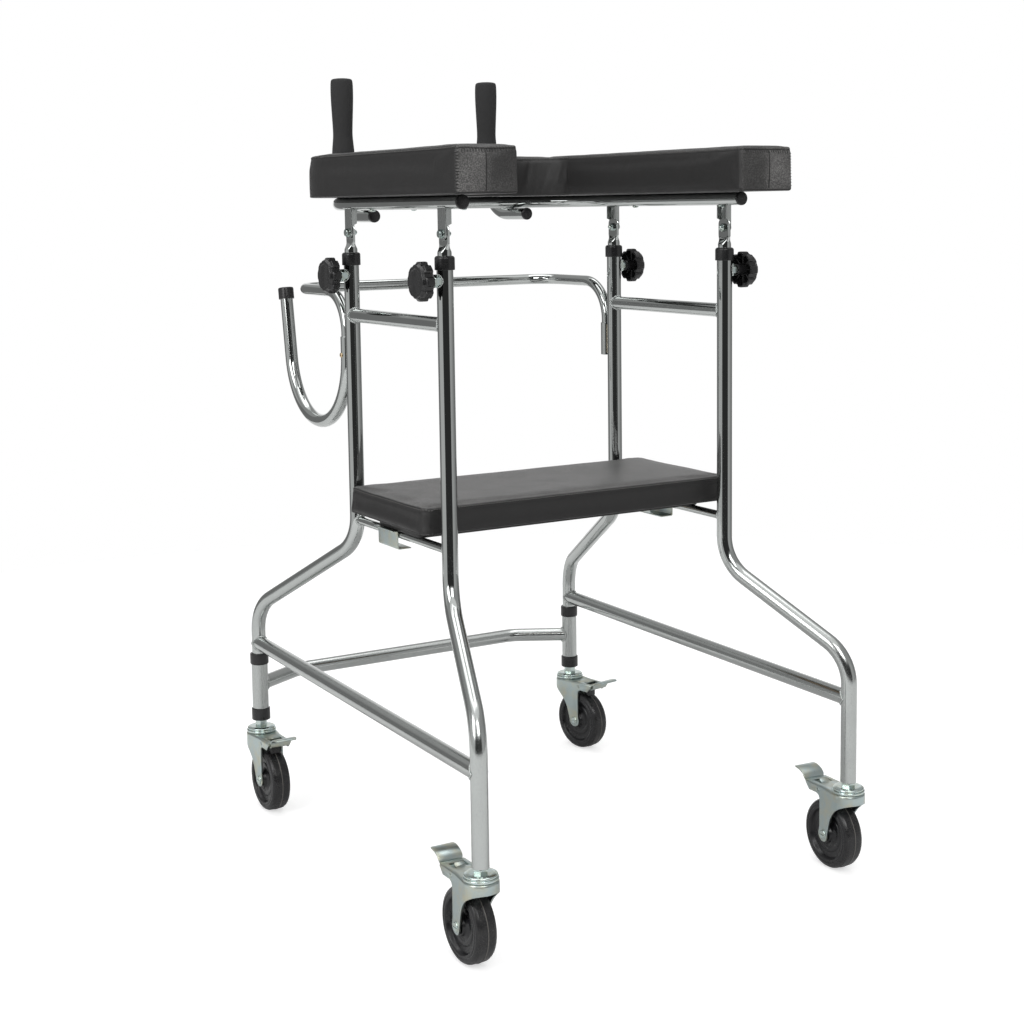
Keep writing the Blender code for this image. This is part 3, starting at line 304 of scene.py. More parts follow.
class WalkerCasterSettings(bpy.types.PropertyGroup):
    """Sizes of the casters."""

    wheel_radius: length("Wheel radius", "Outer radius of the wheels", 0.050)
    wheel_half_width: length("Wheel half width", "Half the width of a wheel", 0.015)
    sheet: length("Sheet", "Thickness of the fork's sheet", 0.0025)
    half_width: length("Fork half width", "Half the width of the fork", 0.0190)
    crown_radius: length("Crown radius", "Radius of the fork's round front", 0.0235)
    crown_edge: length("Crown edge", "Bend radius at the top edge of the fork", 0.0034)
    race_radius: length("Race radius", "Radius of the race cap", 0.0230)
    nut_across_flats: length("Nut across flats", "Size of the hexagon below the leg", 0.017)
    pedal_sheet: length("Pedal sheet", "Thickness of the brake pedal's sheet", 0.002)


class WalkerFinishSettings(bpy.types.PropertyGroup):
    """Colours of the finishes."""

    chrome: colour("Chrome", "Colour of the chromed tubes", (0.50, 0.52, 0.51))
    zinc: colour("Zinc", "Colour of the zinc-plated sheet", (0.45, 0.525, 0.52))
    plastic: colour("Plastic", "Colour of the knobs and collars", (0.012, 0.012, 0.0125))
    wheel: colour("Wheel", "Colour of the wheels", (0.010, 0.010, 0.0112))
    foam: colour("Foam", "Colour of the hand grips", (0.022, 0.022, 0.0225))
    vinyl: colour("Vinyl", "Colour of the upholstery", (0.0135, 0.013, 0.013))
    wood: colour("Wood", "Colour of the seat board", (0.36, 0.24, 0.13))


class WalkerStageSettings(bpy.types.PropertyGroup):
    """Floor and lamps."""

    floor: colour("Floor", "Colour of the floor", (0.62, 0.62, 0.62))
    world: amount("World", "Strength of the even light from all round", 0.55)
    key: amount("Key", "Power of the softbox at the left, in watts", 46.0)
    fill: amount("Fill", "Power of the softbox above the camera, in watts", 36.0)
    top: amount("Top", "Power of the softbox overhead, in watts", 34.0)


SETTINGS = {
    "walker_tubes": WalkerTubeSettings,
    "walker_padding": WalkerPaddingSettings,
    "walker_knobs": WalkerKnobSettings,
    "walker_casters": WalkerCasterSettings,
    "walker_finishes": WalkerFinishSettings,
    "walker_stage": WalkerStageSettings,
}


def settings(name):
    return getattr(bpy.context.scene, name)


# Shader maths


class Value:
    """A shader socket that takes part in sums, products and comparisons."""

    def __init__(self, net, socket):
        self.net = net
        self.socket = socket

    def math(self, operation, *others):
        values = dict(enumerate((self, *others)))
        return self.net.node("ShaderNodeMath", {"operation": operation}, values)

    def swapped(self, operation, other):
        return self.net.node("ShaderNodeMath", {"operation": operation}, {0: other, 1: self})

    def __add__(self, other):
        return self.math("ADD", other)

    def __sub__(self, other):
        return self.math("SUBTRACT", other)

    def __mul__(self, other):
        return self.math("MULTIPLY", other)

    def __rsub__(self, other):
        return self.swapped("SUBTRACT", other)

    __radd__ = __add__
    __rmul__ = __mul__

    def within(self, low, high):
        """0 below low, 1 above high, and straight between."""
        return self.net.node(
            "ShaderNodeMapRange", {"clamp": True}, {"Value": self, "From Min": low, "From Max": high}
        )


class Net:
    """Shader nodes in the making."""

    def __init__(self, tree):
        self.tree = tree

    def put(self, socket, value):
        if isinstance(value, Value):
            self.tree.links.new(value.socket, socket)
        elif socket.type == "RGBA":
            socket.default_value = (*value, 1.0)
        else:
            socket.default_value = value

    def node(self, kind, options=None, sockets=None, out=0):
        """A node with its options set first, then its sockets; its output as a value."""
        made = self.tree.nodes.new(kind)
        for key, value in (options or {}).items():
            setattr(made, key, value)
        for key, value in (sockets or {}).items():
            self.put(made.inputs[key], value)
        return Value(self, made.outputs[out])

    def vector(self, operation, *values, out=0):
        """Vector maths on values or links."""
        return self.node("ShaderNodeVectorMath", {"operation": operation}, dict(enumerate(values)), out)

    def tint(self, factor, low, high):
        """Colour between two colours."""
        made = self.tree.nodes.new("ShaderNodeMix")
        made.data_type = "RGBA"
        for index, value in ((0, factor), (6, low), (7, high)):
            self.put(made.inputs[index], value)
        return Value(self, made.outputs[2])

    def seen(self):
        """1 for what the camera sees, straight or through glass."""
        straight = self.node("ShaderNodeLightPath", out="Is Camera Ray")
        through = self.node("ShaderNodeLightPath", out="Is Transmission Ray")
        return straight.math("MAXIMUM", through)

    def mirrored(self):
        """1 for what shows in gloss and metal."""
        return self.node("ShaderNodeLightPath", out="Is Glossy Ray")


class Finish(Net):
    """A material in the making, with its Principled shader."""

    def __init__(self, name):
        self.material = bpy.data.materials.new(name)
        self.material.use_nodes = True
        super().__init__(self.material.node_tree)
        self.shader = self.tree.nodes["Principled BSDF"]
        self.place = self.node("ShaderNodeTexCoord", out="Object")

    def stretched(self, scale):
        """Object coordinates scaled by three numbers."""
        return self.vector("MULTIPLY", self.place, scale)

    def noise(self, scale, detail=3.0, roughness=0.5, place=None):
        sockets = {
            "Vector": place or self.place, "Scale": scale, "Detail": detail, "Roughness": roughness
        }
        return self.node("ShaderNodeTexNoise", None, sockets)

    def cells(self, scale, feature="F1", place=None):
        """Distance inside the cells of a Voronoi pattern."""
        sockets = {"Vector": place or self.place, "Scale": scale}
        return self.node("ShaderNodeTexVoronoi", {"feature": feature}, sockets, "Distance")

    def attribute(self, name):
        return self.node("ShaderNodeAttribute", {"attribute_name": name}, None, "Fac")

    def height(self):
        """Height above the floor."""
        return self.node("ShaderNodeSeparateXYZ", None, {0: self.place}, "Z")

    def bump(self, height, distance, strength=1.0):
        sockets = {"Height": height, "Distance": distance, "Strength": strength}
        return self.node("ShaderNodeBump", None, sockets)

    def finish(self, **sockets):
        """Sets the shader's sockets, named with _ for a space, and gives the material."""
        for key, value in sockets.items():
            self.put(self.shader.inputs[key.replace("_", " ").title()], value)
        return self.material


def shade(base, factor):
    """A colour made lighter or darker."""
    return tuple(min(1.0, part * factor) for part in base)


def chrome_finish():
    """Bright chrome with faint wipe marks, duller and speckled on the lower frame."""
    made = Finish("chrome")
    base = settings("walker_finishes").chrome
    smear = made.noise(14.0, 4.0, 0.6)
    fine = made.noise(420.0, 2.0)
    patch = smear.within(0.45, 0.75)
    low = made.height().within(0.47, 0.36)
    speck = made.noise(420.0, 4.0, 0.65).within(0.46, 0.70) * low
    return made.finish(
        base_color=made.tint(patch * 0.5 + speck * 0.3, tuple(base), shade(base, 0.86)),
        metallic=1.0,
        roughness=0.045 + patch * 0.04 + fine * 0.02 + low * 0.12 + speck * 0.06,
        normal=made.bump(fine, 0.00001),
    )


def satin_finish():
    """Duller plating of the sleeves and brackets, with drawn lines."""
    made = Finish("satin_tube")
    base = settings("walker_finishes").chrome
    lines = made.noise(60.0, 3.0, 0.6, made.stretched((14.0, 14.0, 0.35)))
    return made.finish(
        base_color=made.tint(lines, shade(base, 0.86), shade(base, 1.05)),
        metallic=1.0,
        roughness=0.20 + lines * 0.14,
        normal=made.bump(lines, 0.00002),
    )


def zinc_finish():
    """Zinc-plated sheet, bluish with faint yellow clouds."""
    made = Finish("zinc_plate")
    base = settings("walker_finishes").zinc
    cloud = made.noise(55.0, 4.0, 0.6).within(0.42, 0.72)
    grain = made.noise(900.0, 3.0, 0.6)
    yellow = (base[0] * 1.22, base[1] * 1.04, base[2] * 0.84)
    return made.finish(
        base_color=made.tint(cloud, tuple(base), yellow),
        metallic=1.0,
        roughness=0.24 + cloud * 0.10 + grain * 0.10,
        normal=made.bump(grain, 0.00003),
    )


def bright_zinc_finish():
    """Bright zinc of the races, nuts, bolts and axles."""
    made = Finish("bright_zinc")
    base = shade(settings("walker_finishes").zinc, 1.25)
    cloud = made.noise(160.0, 3.0, 0.6)
    return made.finish(
        base_color=made.tint(cloud.within(0.4, 0.7), base, (base[0], base[1] * 0.93, base[2] * 0.82)),
        metallic=1.0,
        roughness=0.13 + cloud * 0.12,
        normal=made.bump(cloud, 0.00003),
    )


def screw_finish():
    """Yellow-passivated screw."""
    made = Finish("yellow_zinc")
    cloud = made.noise(500.0, 3.0)
    return made.finish(
        base_color=made.tint(cloud, (0.62, 0.44, 0.24), (0.70, 0.58, 0.40)),
        metallic=1.0,
        roughness=0.18 + cloud * 0.15,
    )


def weld_finish():
    """Bare weld metal with a yellowish tarnish."""
    made = Finish("weld")
    cloud = made.noise(700.0, 3.0)
    return made.finish(
        base_color=made.tint(cloud, (0.36, 0.30, 0.20), (0.58, 0.52, 0.40)),
        metallic=1.0,
        roughness=0.30 + cloud * 0.2,
    )


def plastic_finish():
    """Moulded black plastic with a fine spark-eroded grain."""
    made = Finish("black_plastic")
    base = settings("walker_finishes").plastic
    grain = made.noise(1500.0, 3.0, 0.6)
    lightened = made.noise(40.0, 4.0, 0.6).within(0.5, 0.8)
    return made.finish(
        base_color=made.tint(lightened, tuple(base), shade(base, 1.8)),
        roughness=0.24 + lightened * 0.10 + grain * 0.06,
        normal=made.bump(grain, 0.00006),
    )


def wheel_finish():
    """Hard glossy rubber; the tread, marked by an attribute, is dusty and scuffed."""
    made = Finish("wheel_rubber")
    base = settings("walker_finishes").wheel
    tread = made.attribute("tread")
    ridge = made.attribute("ridge")
    scuff = made.noise(650.0, 4.0, 0.6).within(0.56, 0.72) * tread
    dust = made.noise(150.0, 4.0, 0.6).within(0.50, 0.80) * tread
    speck = made.cells(430.0).within(0.15, 0.06) * tread
    marks = (scuff * 0.24 + dust * 0.10 + speck * 0.75 + ridge * 0.75).within(0.0, 1.0)
    grain = made.noise(900.0, 4.0, 0.6)
    cloud = made.noise(70.0, 3.0).within(0.4, 0.7)
    return made.finish(
        base_color=made.tint(marks, tuple(base), (0.17, 0.16, 0.145)),
        roughness=0.24 + cloud * 0.08 + marks * 0.45 + grain * 0.05,
        normal=made.bump(grain * tread * 0.7 + scuff * 0.5, 0.0001),
    )


def foam_finish():
    """Closed-cell foam of the grips, matt with tiny pores."""
    made = Finish("foam_grip")
    base = settings("walker_finishes").foam
    pores = made.cells(1700.0).within(0.05, 0.5)
    soft = made.noise(90.0, 3.0)
    return made.finish(
        base_color=made.tint(soft * 0.5 + pores * 0.5, shade(base, 0.7), shade(base, 1.25)),
        roughness=0.78 + pores * 0.12,
        normal=made.bump(pores * 0.7 + soft * 0.3, 0.00018),
    )


def vinyl_finish():
    """Black leather cloth: small cells with creases between, a little cloudy in gloss, with painted sheen
    where a mask asks for it.
    """
    made = Finish("vinyl")
    base = settings("walker_finishes").vinyl
    warp = made.noise(160.0, 2.0)
    place = made.vector("MULTIPLY_ADD", warp, (0.0016, 0.0016, 0.0016), made.place)
    pebble = made.cells(620.0, "SMOOTH_F1", place)
    crease = made.cells(620.0, "DISTANCE_TO_EDGE", place).within(0.0, 0.14)
    fine = made.noise(1900.0, 3.0, 0.6)
    cloud = made.noise(22.0, 4.0, 0.55).within(0.35, 0.70)
    # Painted sheen: where the upholstery's mask is set, the base colour is lifted towards grey in grainy
    # spots that stand in for the lamps' glints; the same mask also makes the cover glossier and its grain
    # deeper.
    lightened = made.attribute("lightened") * (0.45 + cloud * 0.55)
    painted_sheen = lightened * (0.30 + made.noise(640.0, 2.0, 0.5).within(0.44, 0.63) * 0.70)
    skin_height = crease * 0.55 - pebble * 0.35 + fine * 0.14
    grained = made.tint(crease, shade(base, 0.62), shade(base, 1.12))
    return made.finish(
        base_color=made.tint(painted_sheen, grained, (0.225, 0.22, 0.215)),
        roughness=0.40 + cloud * 0.08 + fine * 0.06 - lightened * 0.19,
        normal=made.bump(skin_height * (0.55 + lightened * 1.1), 0.00022, 0.85),
    )


def thread_finish():
    """Twisted black thread."""
    made = Finish("thread")
    twist = made.noise(2600.0, 2.0)
    return made.finish(
        base_color=made.tint(twist, (0.07, 0.068, 0.066), (0.17, 0.165, 0.16)),
        roughness=0.62 + twist * 0.15,
        normal=made.bump(twist, 0.0001),
    )


def wood_finish():
    """Plywood face with long grain."""
    made = Finish("plywood")
    base = settings("walker_finishes").wood
    grain = made.noise(18.0, 6.0, 0.65, made.stretched((0.35, 6.0, 6.0)))
    pore = made.noise(160.0, 3.0, 0.6, made.stretched((0.2, 5.0, 5.0))).within(0.45, 0.75)
    return made.finish(
        base_color=made.tint(grain, shade(base, 0.72), shade(base, 1.15)),
        roughness=0.62 + pore * 0.15,
        normal=made.bump(grain * 0.6 + pore * 0.4, 0.00012),
    )


FINISHES = {
    "chrome": (chrome_finish, "chrome"),
    "satin": (satin_finish, "chrome"),
    "zinc": (zinc_finish, "zinc"),
    "bright_zinc": (bright_zinc_finish, "zinc"),
    "screw": (screw_finish, "zinc"),
    "weld": (weld_finish, "chrome"),
    "plastic": (plastic_finish, "black_plastic"),
    "wheel": (wheel_finish, "wheel"),
    "foam": (foam_finish, "foam"),
    "vinyl": (vinyl_finish, "vinyl"),
    "thread": (thread_finish, "vinyl"),
    "wood": (wood_finish, "plywood"),
}
made_finishes = {}


def finish_for(look):
    """The material of a look, made once, and its slot in the record."""
    maker, slot = FINISHES[look]
    if look not in made_finishes:
        made_finishes[look] = maker()
    return made_finishes[look], slot


# Mesh helpers


def linked(name, data):
    """A new object in the scene."""
    made = bpy.data.objects.new(name, data)
    bpy.context.scene.collection.objects.link(made)
    return made


def around(count):
    """Angles at even steps round a circle."""
    return [2 * math.pi * index / count for index in range(count)]


def filleted(points, radius, steps=3, closed=False):
    """Outline with its corners rounded; an open one keeps its two ends."""
    points = [Vector(point) for point in points]
    last = len(points) - 1
    made = []
    for index, corner in enumerate(points):
        if not closed and index in (0, last):
            made.append(corner)
            continue
        before = points[index - 1] - corner
        after = points[0 if index == last else index + 1] - corner
        reach = min(radius, before.length * 0.45, after.length * 0.45)
        start, end = corner + before.normalized() * reach, corner + after.normalized() * reach
        for step in range(steps + 1):
            share = step / steps
            made.append(
                start * (1 - share) ** 2 + corner * 2 * share * (1 - share) + end * share**2
            )
    return made


def arc(centre, radius, start, end, steps):
    """Points on a circle from one angle to another, in degrees."""
    angles = [math.radians(start + (end - start) * step / steps) for step in range(steps + 1)]
    return [Vector((centre[0] + radius * math.cos(a), centre[1] + radius * math.sin(a))) for a in angles]


def smooth_line(points, steps):
    """Smooth line of vectors through all the points."""
    points = [Vector(point) for point in points]
    ends = [2 * points[0] - points[1], *points, 2 * points[-1] - points[-2]]
    made = []
    for before, start, end, after in zip(ends, ends[1:], ends[2:], ends[3:]):
        for step in range(steps):
            t = step / steps
            made.append(
                0.5 * (2 * start + (end - before) * t
                       + (2 * before - 5 * start + 4 * end - after) * t**2
                       + (3 * start - before - 3 * end + after) * t**3)
            )
    return [*made, points[-1]]


def skin(bm, rings):
    """Faces between each ring of vertices and the next; a ring may be one point."""
    for near, far in zip(rings, rings[1:]):
        count = max(len(near), len(far))
        for index in range(count):
            after = (index + 1) % count
            corners = (
                near[index % len(near)], near[after % len(near)],
                far[after % len(far)], far[index % len(far)],
            )
            bm.faces.new(dict.fromkeys(corners))


def filled_skin(bm, rings):
    """Faces between the rings, and over the first and the last."""
    skin(bm, rings)
    for ring in (rings[0], rings[-1]):
        if len(ring) > 1:
            bm.faces.new(ring)


def plain_mesh(bm):
    """The bmesh as a mesh, its faces as they are."""
    mesh = bpy.data.meshes.new("piece")
    bm.to_mesh(mesh)
    bm.free()
    return mesh


def to_mesh(bm):
    """The bmesh as a mesh with its faces pointing out."""
    bmesh.ops.recalc_face_normals(bm, faces=bm.faces)
    return plain_mesh(bm)


def lathe(profile, sides=ROUND, outline=None, closed=False):
    """Turned shape about Z from (radius, height); a closed profile makes a ring.

    The outline may change a radius with the angle.
    """
    bm = bmesh.new()
    rings = []
    for radius, height in profile:
        if radius < TINY:
            rings.append([bm.verts.new((0, 0, height))])
            continue
        ring = []
        for angle in around(sides):
            reach = outline(angle, radius) if outline else radius
            ring.append(bm.verts.new((reach * math.cos(angle), reach * math.sin(angle), height)))
        rings.append(ring)
    if closed:
        skin(bm, [*rings, rings[0]])
    else:
        filled_skin(bm, rings)
    return to_mesh(bm)


def drum(radius, low, high, fillet=0.0, steps=3, sides=SMALL_ROUND):
    """Round bar about Z, its rims filleted if asked."""
    outline = [(0, low), (radius, low), (radius, high), (0, high)]
    return lathe(filleted(outline, fillet, steps) if fillet else outline, sides)


def corner_reach(across_flats):
    """Distance from a hexagon's middle to its corners."""
    return across_flats / 2 / math.cos(math.pi / 6)


def hexagon(across_flats):
    """Outline that cuts a turned shape to a hexagon with rounded-off corners."""

    def reach(angle, radius):
        off_flat = (angle % (math.pi / 3)) - math.pi / 6
        return min(radius, across_flats / 2 / math.cos(off_flat))

    return reach


def rounded_path(corners, radii):
    """Points and directions along straight runs joined by arcs."""
    corners = [Vector(corner) for corner in corners]
    into = (corners[1] - corners[0]).normalized()
    path = [(corners[0], into)]
    for corner, after, radius in zip(corners[1:], corners[2:], radii):
        out = (after - corner).normalized()
        turn = into.angle(out)
        axis = into.cross(out).normalized()
        start = corner - into * radius * math.tan(turn / 2)
        centre = start + axis.cross(into) * radius
        steps = max(2, round(turn / ARC_STEP))
        for count in range(steps + 1):
            swing = Matrix.Rotation(turn * count / steps, 3, axis)
            path.append((centre + swing @ (start - centre), swing @ into))
        into = out
    path.append((corners[-1], into))
    return path


def carried(path, side):
    """A path's points and directions, with a side turned along but not twisted."""
    side = Vector(side)
    direction = path[0][1]
    stations = []
    for point, tangent in path:
        side = direction.rotation_difference(tangent) @ side
        direction = tangent
        stations.append((point, tangent, side, tangent.cross(side)))
    return stations


def ring_at(bm, station, radius, sides, shift=0.0, cope=None):
    """Ring of vertices round a path; a cope moves each along it to a round tube's skin."""
    point, tangent, side, across = station
    ring = []
    for angle in around(sides):
        spot = point + (side * math.cos(angle) + across * math.sin(angle)) * radius
        if cope:
            spot = coped(spot, tangent, *cope)
        ring.append(bm.verts.new(spot + tangent * shift))
    return ring


def coped(spot, direction, axis_point, axis, radius, way):
    """The spot moved along a direction until it lies on a cylinder."""
    run = direction - axis * direction.dot(axis)
    off = spot - axis_point
    off = off - axis * off.dot(axis)
    square = run.length_squared
    root = max(0.0, off.dot(run) ** 2 - square * (off.length_squared - radius**2))
    return spot + direction * (-off.dot(run) + way * math.sqrt(root)) / square


def tube(path, radius, wall, sides=ROUND, side=(1, 0, 0), copes=(None, None)):
    """Open tube along a path, with rounded rims, or coped to the tubes it is welded to."""
    bm = bmesh.new()
    stations = carried(path, side)
    rim = wall * 0.3
    bore = radius - wall
    ends = ((stations[0], copes[0], 1), (stations[-1], copes[1], -1))
    start, end = [
        [ring_at(bm, station, r, sides, 0.0, cope) for r in (radius, bore)]
        if cope
        else [ring_at(bm, station, r, sides, shift * way)
              for r, shift in ((radius, rim), (radius - rim, 0), (bore + rim, 0), (bore, rim))]
        for station, cope, way in ends
    ]
    outer = [ring_at(bm, station, radius, sides) for station in stations[1:-1]]
    inner = [ring_at(bm, station, bore, sides) for station in reversed(stations[1:-1])]
    half = len(start) // 2
    loops = [*reversed(start[:half]), *outer, *end, *inner, *reversed(start[half:])]
    skin(bm, [*loops, loops[0]])
    return to_mesh(bm)


def straight(start, end):
    """Path of one straight run."""
    start, end = Vector(start), Vector(end)
    direction = (end - start).normalized()
    return [(start, direction), (end, direction)]


def towards(start, direction):
    """Matrix that stands a shape's Z axis along a direction, at a point."""
    return Matrix.Translation(start) @ Vector(direction).to_track_quat("Z", "Y").to_matrix().to_4x4()


def prism(outline, low, high, axis="Z"):
    """Outline extruded along Z; or along X, given as (y, z); or along Y, as (x, z)."""
    place = {
        "Z": lambda point, level: (point[0], point[1], level),
        "X": lambda point, level: (level, point[0], point[1]),
        "Y": lambda point, level: (point[0], level, point[1]),
    }[axis]
    bm = bmesh.new()
    filled_skin(bm, [[bm.verts.new(place(point, level)) for point in outline] for level in (low, high)])
    return to_mesh(bm)


def box(low, high):
    corners = [(low[0], low[1]), (high[0], low[1]), (high[0], high[1]), (low[0], high[1])]
    return prism(corners, low[2], high[2])


def rims_rounded(mesh, radius, levels, steps=4):
    """The mesh with the edges that lie at these heights rounded."""
    bm = bmesh.new()
    bm.from_mesh(mesh)
    rims = [e for e in bm.edges
            if all(any(abs(v.co.z - level) < TINY for level in levels) for v in e.verts)
            and abs(e.verts[0].co.z - e.verts[1].co.z) < TINY]
    bmesh.ops.bevel(
        bm, geom=rims, offset=radius, segments=steps, profile=0.5, affect="EDGES", clamp_overlap=True
    )
    return to_mesh(bm)


def modified(mesh, *steps):
    """The mesh after these modifiers, each a type with its options."""
    carrier = linked("carrier", mesh)
    for kind, options in steps:
        modifier = carrier.modifiers.new(kind, kind)
        for key, value in options.items():
            setattr(modifier, key, value)
    graph = bpy.context.evaluated_depsgraph_get()
    result = bpy.data.meshes.new_from_object(carrier.evaluated_get(graph))
    bpy.data.objects.remove(carrier)
    return result


def combined(base, tool, operation):
    """Boolean of two meshes; the tool is used up."""
    helper = linked("tool", tool)
    result = modified(base, ("BOOLEAN", {"object": helper, "operation": operation}))
    bpy.data.objects.remove(helper)
    return result


def cut(base, *tools):
    for tool in tools:
        base = combined(base, tool, "DIFFERENCE")
    return base


def bevelled(mesh, width, steps=2):
    options = {
        "width": width, "segments": steps, "limit_method": "ANGLE", "angle_limit": math.radians(32),
        "use_clamp_overlap": True, "miter_outer": "MITER_ARC",
    }
    return modified(mesh, ("BEVEL", options))


def moved(mesh, matrix):
    """A copy of the mesh, put in place."""
    copy = mesh.copy()
    copy.transform(matrix)
    if matrix.is_negative:
        copy.flip_normals()
    return copy


def together(*meshes):
    """One mesh of several closed shapes."""
    bm = bmesh.new()
    for mesh in meshes:
        bm.from_mesh(mesh)
    return plain_mesh(bm)


def place(name, mesh, look, body, *nodes, sharp=SHARP_ANGLE):
    """A finished piece on its body, with the nodes that it stands for."""
    finish, slot = finish_for(look)
    mesh.materials.clear()
    mesh.materials.append(finish)
    mesh.shade_smooth()
    mesh.set_sharp_from_angle(angle=sharp)
    piece = linked(name, mesh)
    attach(piece, body)
    if nodes:
        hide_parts(*nodes)
    return piece


# Geometry Nodes


def new_tree(name, inputs):
    """Empty node tree with a geometry input and output and the named inputs."""
    tree = bpy.data.node_groups.new(name, "GeometryNodeTree")
    tree.interface.new_socket("Geometry", in_out="INPUT", socket_type="NodeSocketGeometry")
    for label, kind in inputs:
        tree.interface.new_socket(label, in_out="INPUT", socket_type=kind)
    tree.interface.new_socket("Geometry", in_out="OUTPUT", socket_type="NodeSocketGeometry")
    return tree


def add_node(tree, kind, options=None, **links):
    """A node whose named sockets, with _ for a space, are linked or set."""
    made = tree.nodes.new(kind)
    for key, value in (options or {}).items():
        setattr(made, key, value)
    for key, value in links.items():
        socket = made.inputs[key.replace("_", " ")]
        if isinstance(value, bpy.types.NodeSocket):
            tree.links.new(value, socket)
        else:
            socket.default_value = value
    return made


def end_tree(tree, geometry, finish):
    """Realizes the instances, gives them their material and ends the tree."""
    real = add_node(tree, "GeometryNodeRealizeInstances", Geometry=geometry)
    done = add_node(tree, "GeometryNodeSetMaterial", Geometry=real.outputs[0], Material=finish)
    add_node(tree, "NodeGroupOutput", Geometry=done.outputs[0])
    return tree


def row_tree():
    """Sets a template along a line at an even pitch, its X axis along the line."""
    tree = new_tree("row_along_line", (
        ("Template", "NodeSocketObject"), ("Pitch", "NodeSocketFloat"), ("Finish", "NodeSocketMaterial"),
    ))
    source = add_node(tree, "NodeGroupInput").outputs
    curve = add_node(tree, "GeometryNodeMeshToCurve", Mesh=source["Geometry"])
    spaced = add_node(
        tree, "GeometryNodeResampleCurve", {"mode": "LENGTH"},
        Curve=curve.outputs[0], Length=source["Pitch"],
    )
    template = add_node(tree, "GeometryNodeObjectInfo", Object=source["Template"])
    tangent = add_node(tree, "GeometryNodeInputTangent")
    turn = add_node(tree, "FunctionNodeAlignRotationToVector", {"axis": "X"}, Vector=tangent.outputs[0])
    row = add_node(
        tree, "GeometryNodeInstanceOnPoints", Points=spaced.outputs[0],
        Instance=template.outputs["Geometry"], Rotation=turn.outputs[0],
    )
    return end_tree(tree, row.outputs[0], source["Finish"])


def spot_tree():
    """Sets a template on each point, its Z axis along the point's own direction."""
    tree = new_tree("set_on_points", (
        ("Template", "NodeSocketObject"), ("Finish", "NodeSocketMaterial"),
    ))
    source = add_node(tree, "NodeGroupInput").outputs
    points = add_node(tree, "GeometryNodeMeshToPoints", Mesh=source["Geometry"])
    template = add_node(tree, "GeometryNodeObjectInfo", Object=source["Template"])
    outward = add_node(tree, "GeometryNodeInputNamedAttribute", {"data_type": "FLOAT_VECTOR"}, Name="outward")
    turn = add_node(tree, "FunctionNodeAlignRotationToVector", {"axis": "Z"}, Vector=outward.outputs[0])
    spots = add_node(
        tree, "GeometryNodeInstanceOnPoints", Points=points.outputs[0],
        Instance=template.outputs["Geometry"], Rotation=turn.outputs[0],
    )
    return end_tree(tree, spots.outputs[0], source["Finish"])


def through_tree(mesh, tree, template, **inputs):
    """The plain mesh that a tree makes of a mesh and a template shape."""
    helper = linked("template", template)
    carrier = linked("carrier", mesh)
    modifier = carrier.modifiers.new("Nodes", "NODES")
    modifier.node_group = tree
    values = {"Template": helper, **inputs}
    for item in tree.interface.items_tree:
        if item.in_out == "INPUT" and item.name in values:
            modifier[item.identifier] = values[item.name]
    graph = bpy.context.evaluated_depsgraph_get()
    result = bpy.data.meshes.new_from_object(carrier.evaluated_get(graph))
    for item in (carrier, helper):
        bpy.data.objects.remove(item)
    return result


def line_mesh(lines, closed=True):
    """Edges along each list of points."""
    bm = bmesh.new()
    for line in lines:
        verts = [bm.verts.new(point) for point in line]
        for near, far in zip(verts, verts[1:]):
            bm.edges.new((near, far))
        if closed:
            bm.edges.new((verts[-1], verts[0]))
    return plain_mesh(bm)


def row_along(name, lines, template, pitch, look, body, closed=True):
    """A row of like shapes along lines, as one piece."""
    finish, _ = finish_for(look)
    mesh = through_tree(line_mesh(lines, closed), row_tree(), template, Pitch=pitch, Finish=finish)
    return place(name, mesh, look, body)


def set_at(name, spots, template, look, body):
    """The same shape on each (point, direction), as one piece."""
    mesh = bpy.data.meshes.new("spots")
    mesh.from_pydata([tuple(point) for point, _ in spots], [], [])
    outward = mesh.attributes.new("outward", "FLOAT_VECTOR", "POINT")
    outward.data.foreach_set("vector", [part for _, way in spots for part in Vector(way)])
    finish, _ = finish_for(look)
    return place(name, through_tree(mesh, spot_tree(), template, Finish=finish), look, body)


# Fasteners


def blob(radius, squash=0.7):
    """Flattened ball, thin along X, for a weld's ripples or the puckers of a cover."""
    bm = bmesh.new()
    bmesh.ops.create_icosphere(bm, subdivisions=2, radius=radius)
    bmesh.ops.scale(bm, vec=(squash, 1, 1), verts=bm.verts)
    return to_mesh(bm)


def stitch(length_of_stitch, radius):
    """One stitch along X, its ends dipping under."""
    half = length_of_stitch / 2
    profile = [(0, -half), (radius * 0.7, -half * 0.9), (radius, -half * 0.55), (radius, half * 0.55),
               (radius * 0.7, half * 0.9), (0, half)]
    return moved(lathe(profile, 8), ALONG_X)


def hex_head(across_flats, height):
    """Hexagon head standing on Z = 0, with a chamfered top and a washer below."""
    corner, washer = corner_reach(across_flats), 0.0008
    profile = [(0, washer), (corner, washer), (corner, height * 0.82),
               (across_flats * 0.46, height), (0, height)]
    head = lathe(filleted(profile, 0.0002), ROUND, hexagon(across_flats))
    return together(drum(corner * 1.08, 0, washer, 0.0002), head)


def dome_nut(across_flats, height):
    """Cap nut: a hexagon with a round dome, standing on Z = 0."""
    corner, dome_r, base = corner_reach(across_flats), across_flats * 0.44, height * 0.45
    profile = [(0, 0), (corner, 0), (corner, base * 0.9), (dome_r, base), (0, base)]
    nut = lathe(filleted(profile, 0.0002), ROUND, hexagon(across_flats))
    dome = [(math.cos(a) * dome_r, base * 0.8 + math.sin(a) * (height - base * 0.8))
            for a in (math.pi / 2 * step / 8 for step in range(9))]
    return together(nut, lathe([(0, base * 0.5), (dome_r, base * 0.5), *dome[:-1], (0, height)], SMALL_ROUND))


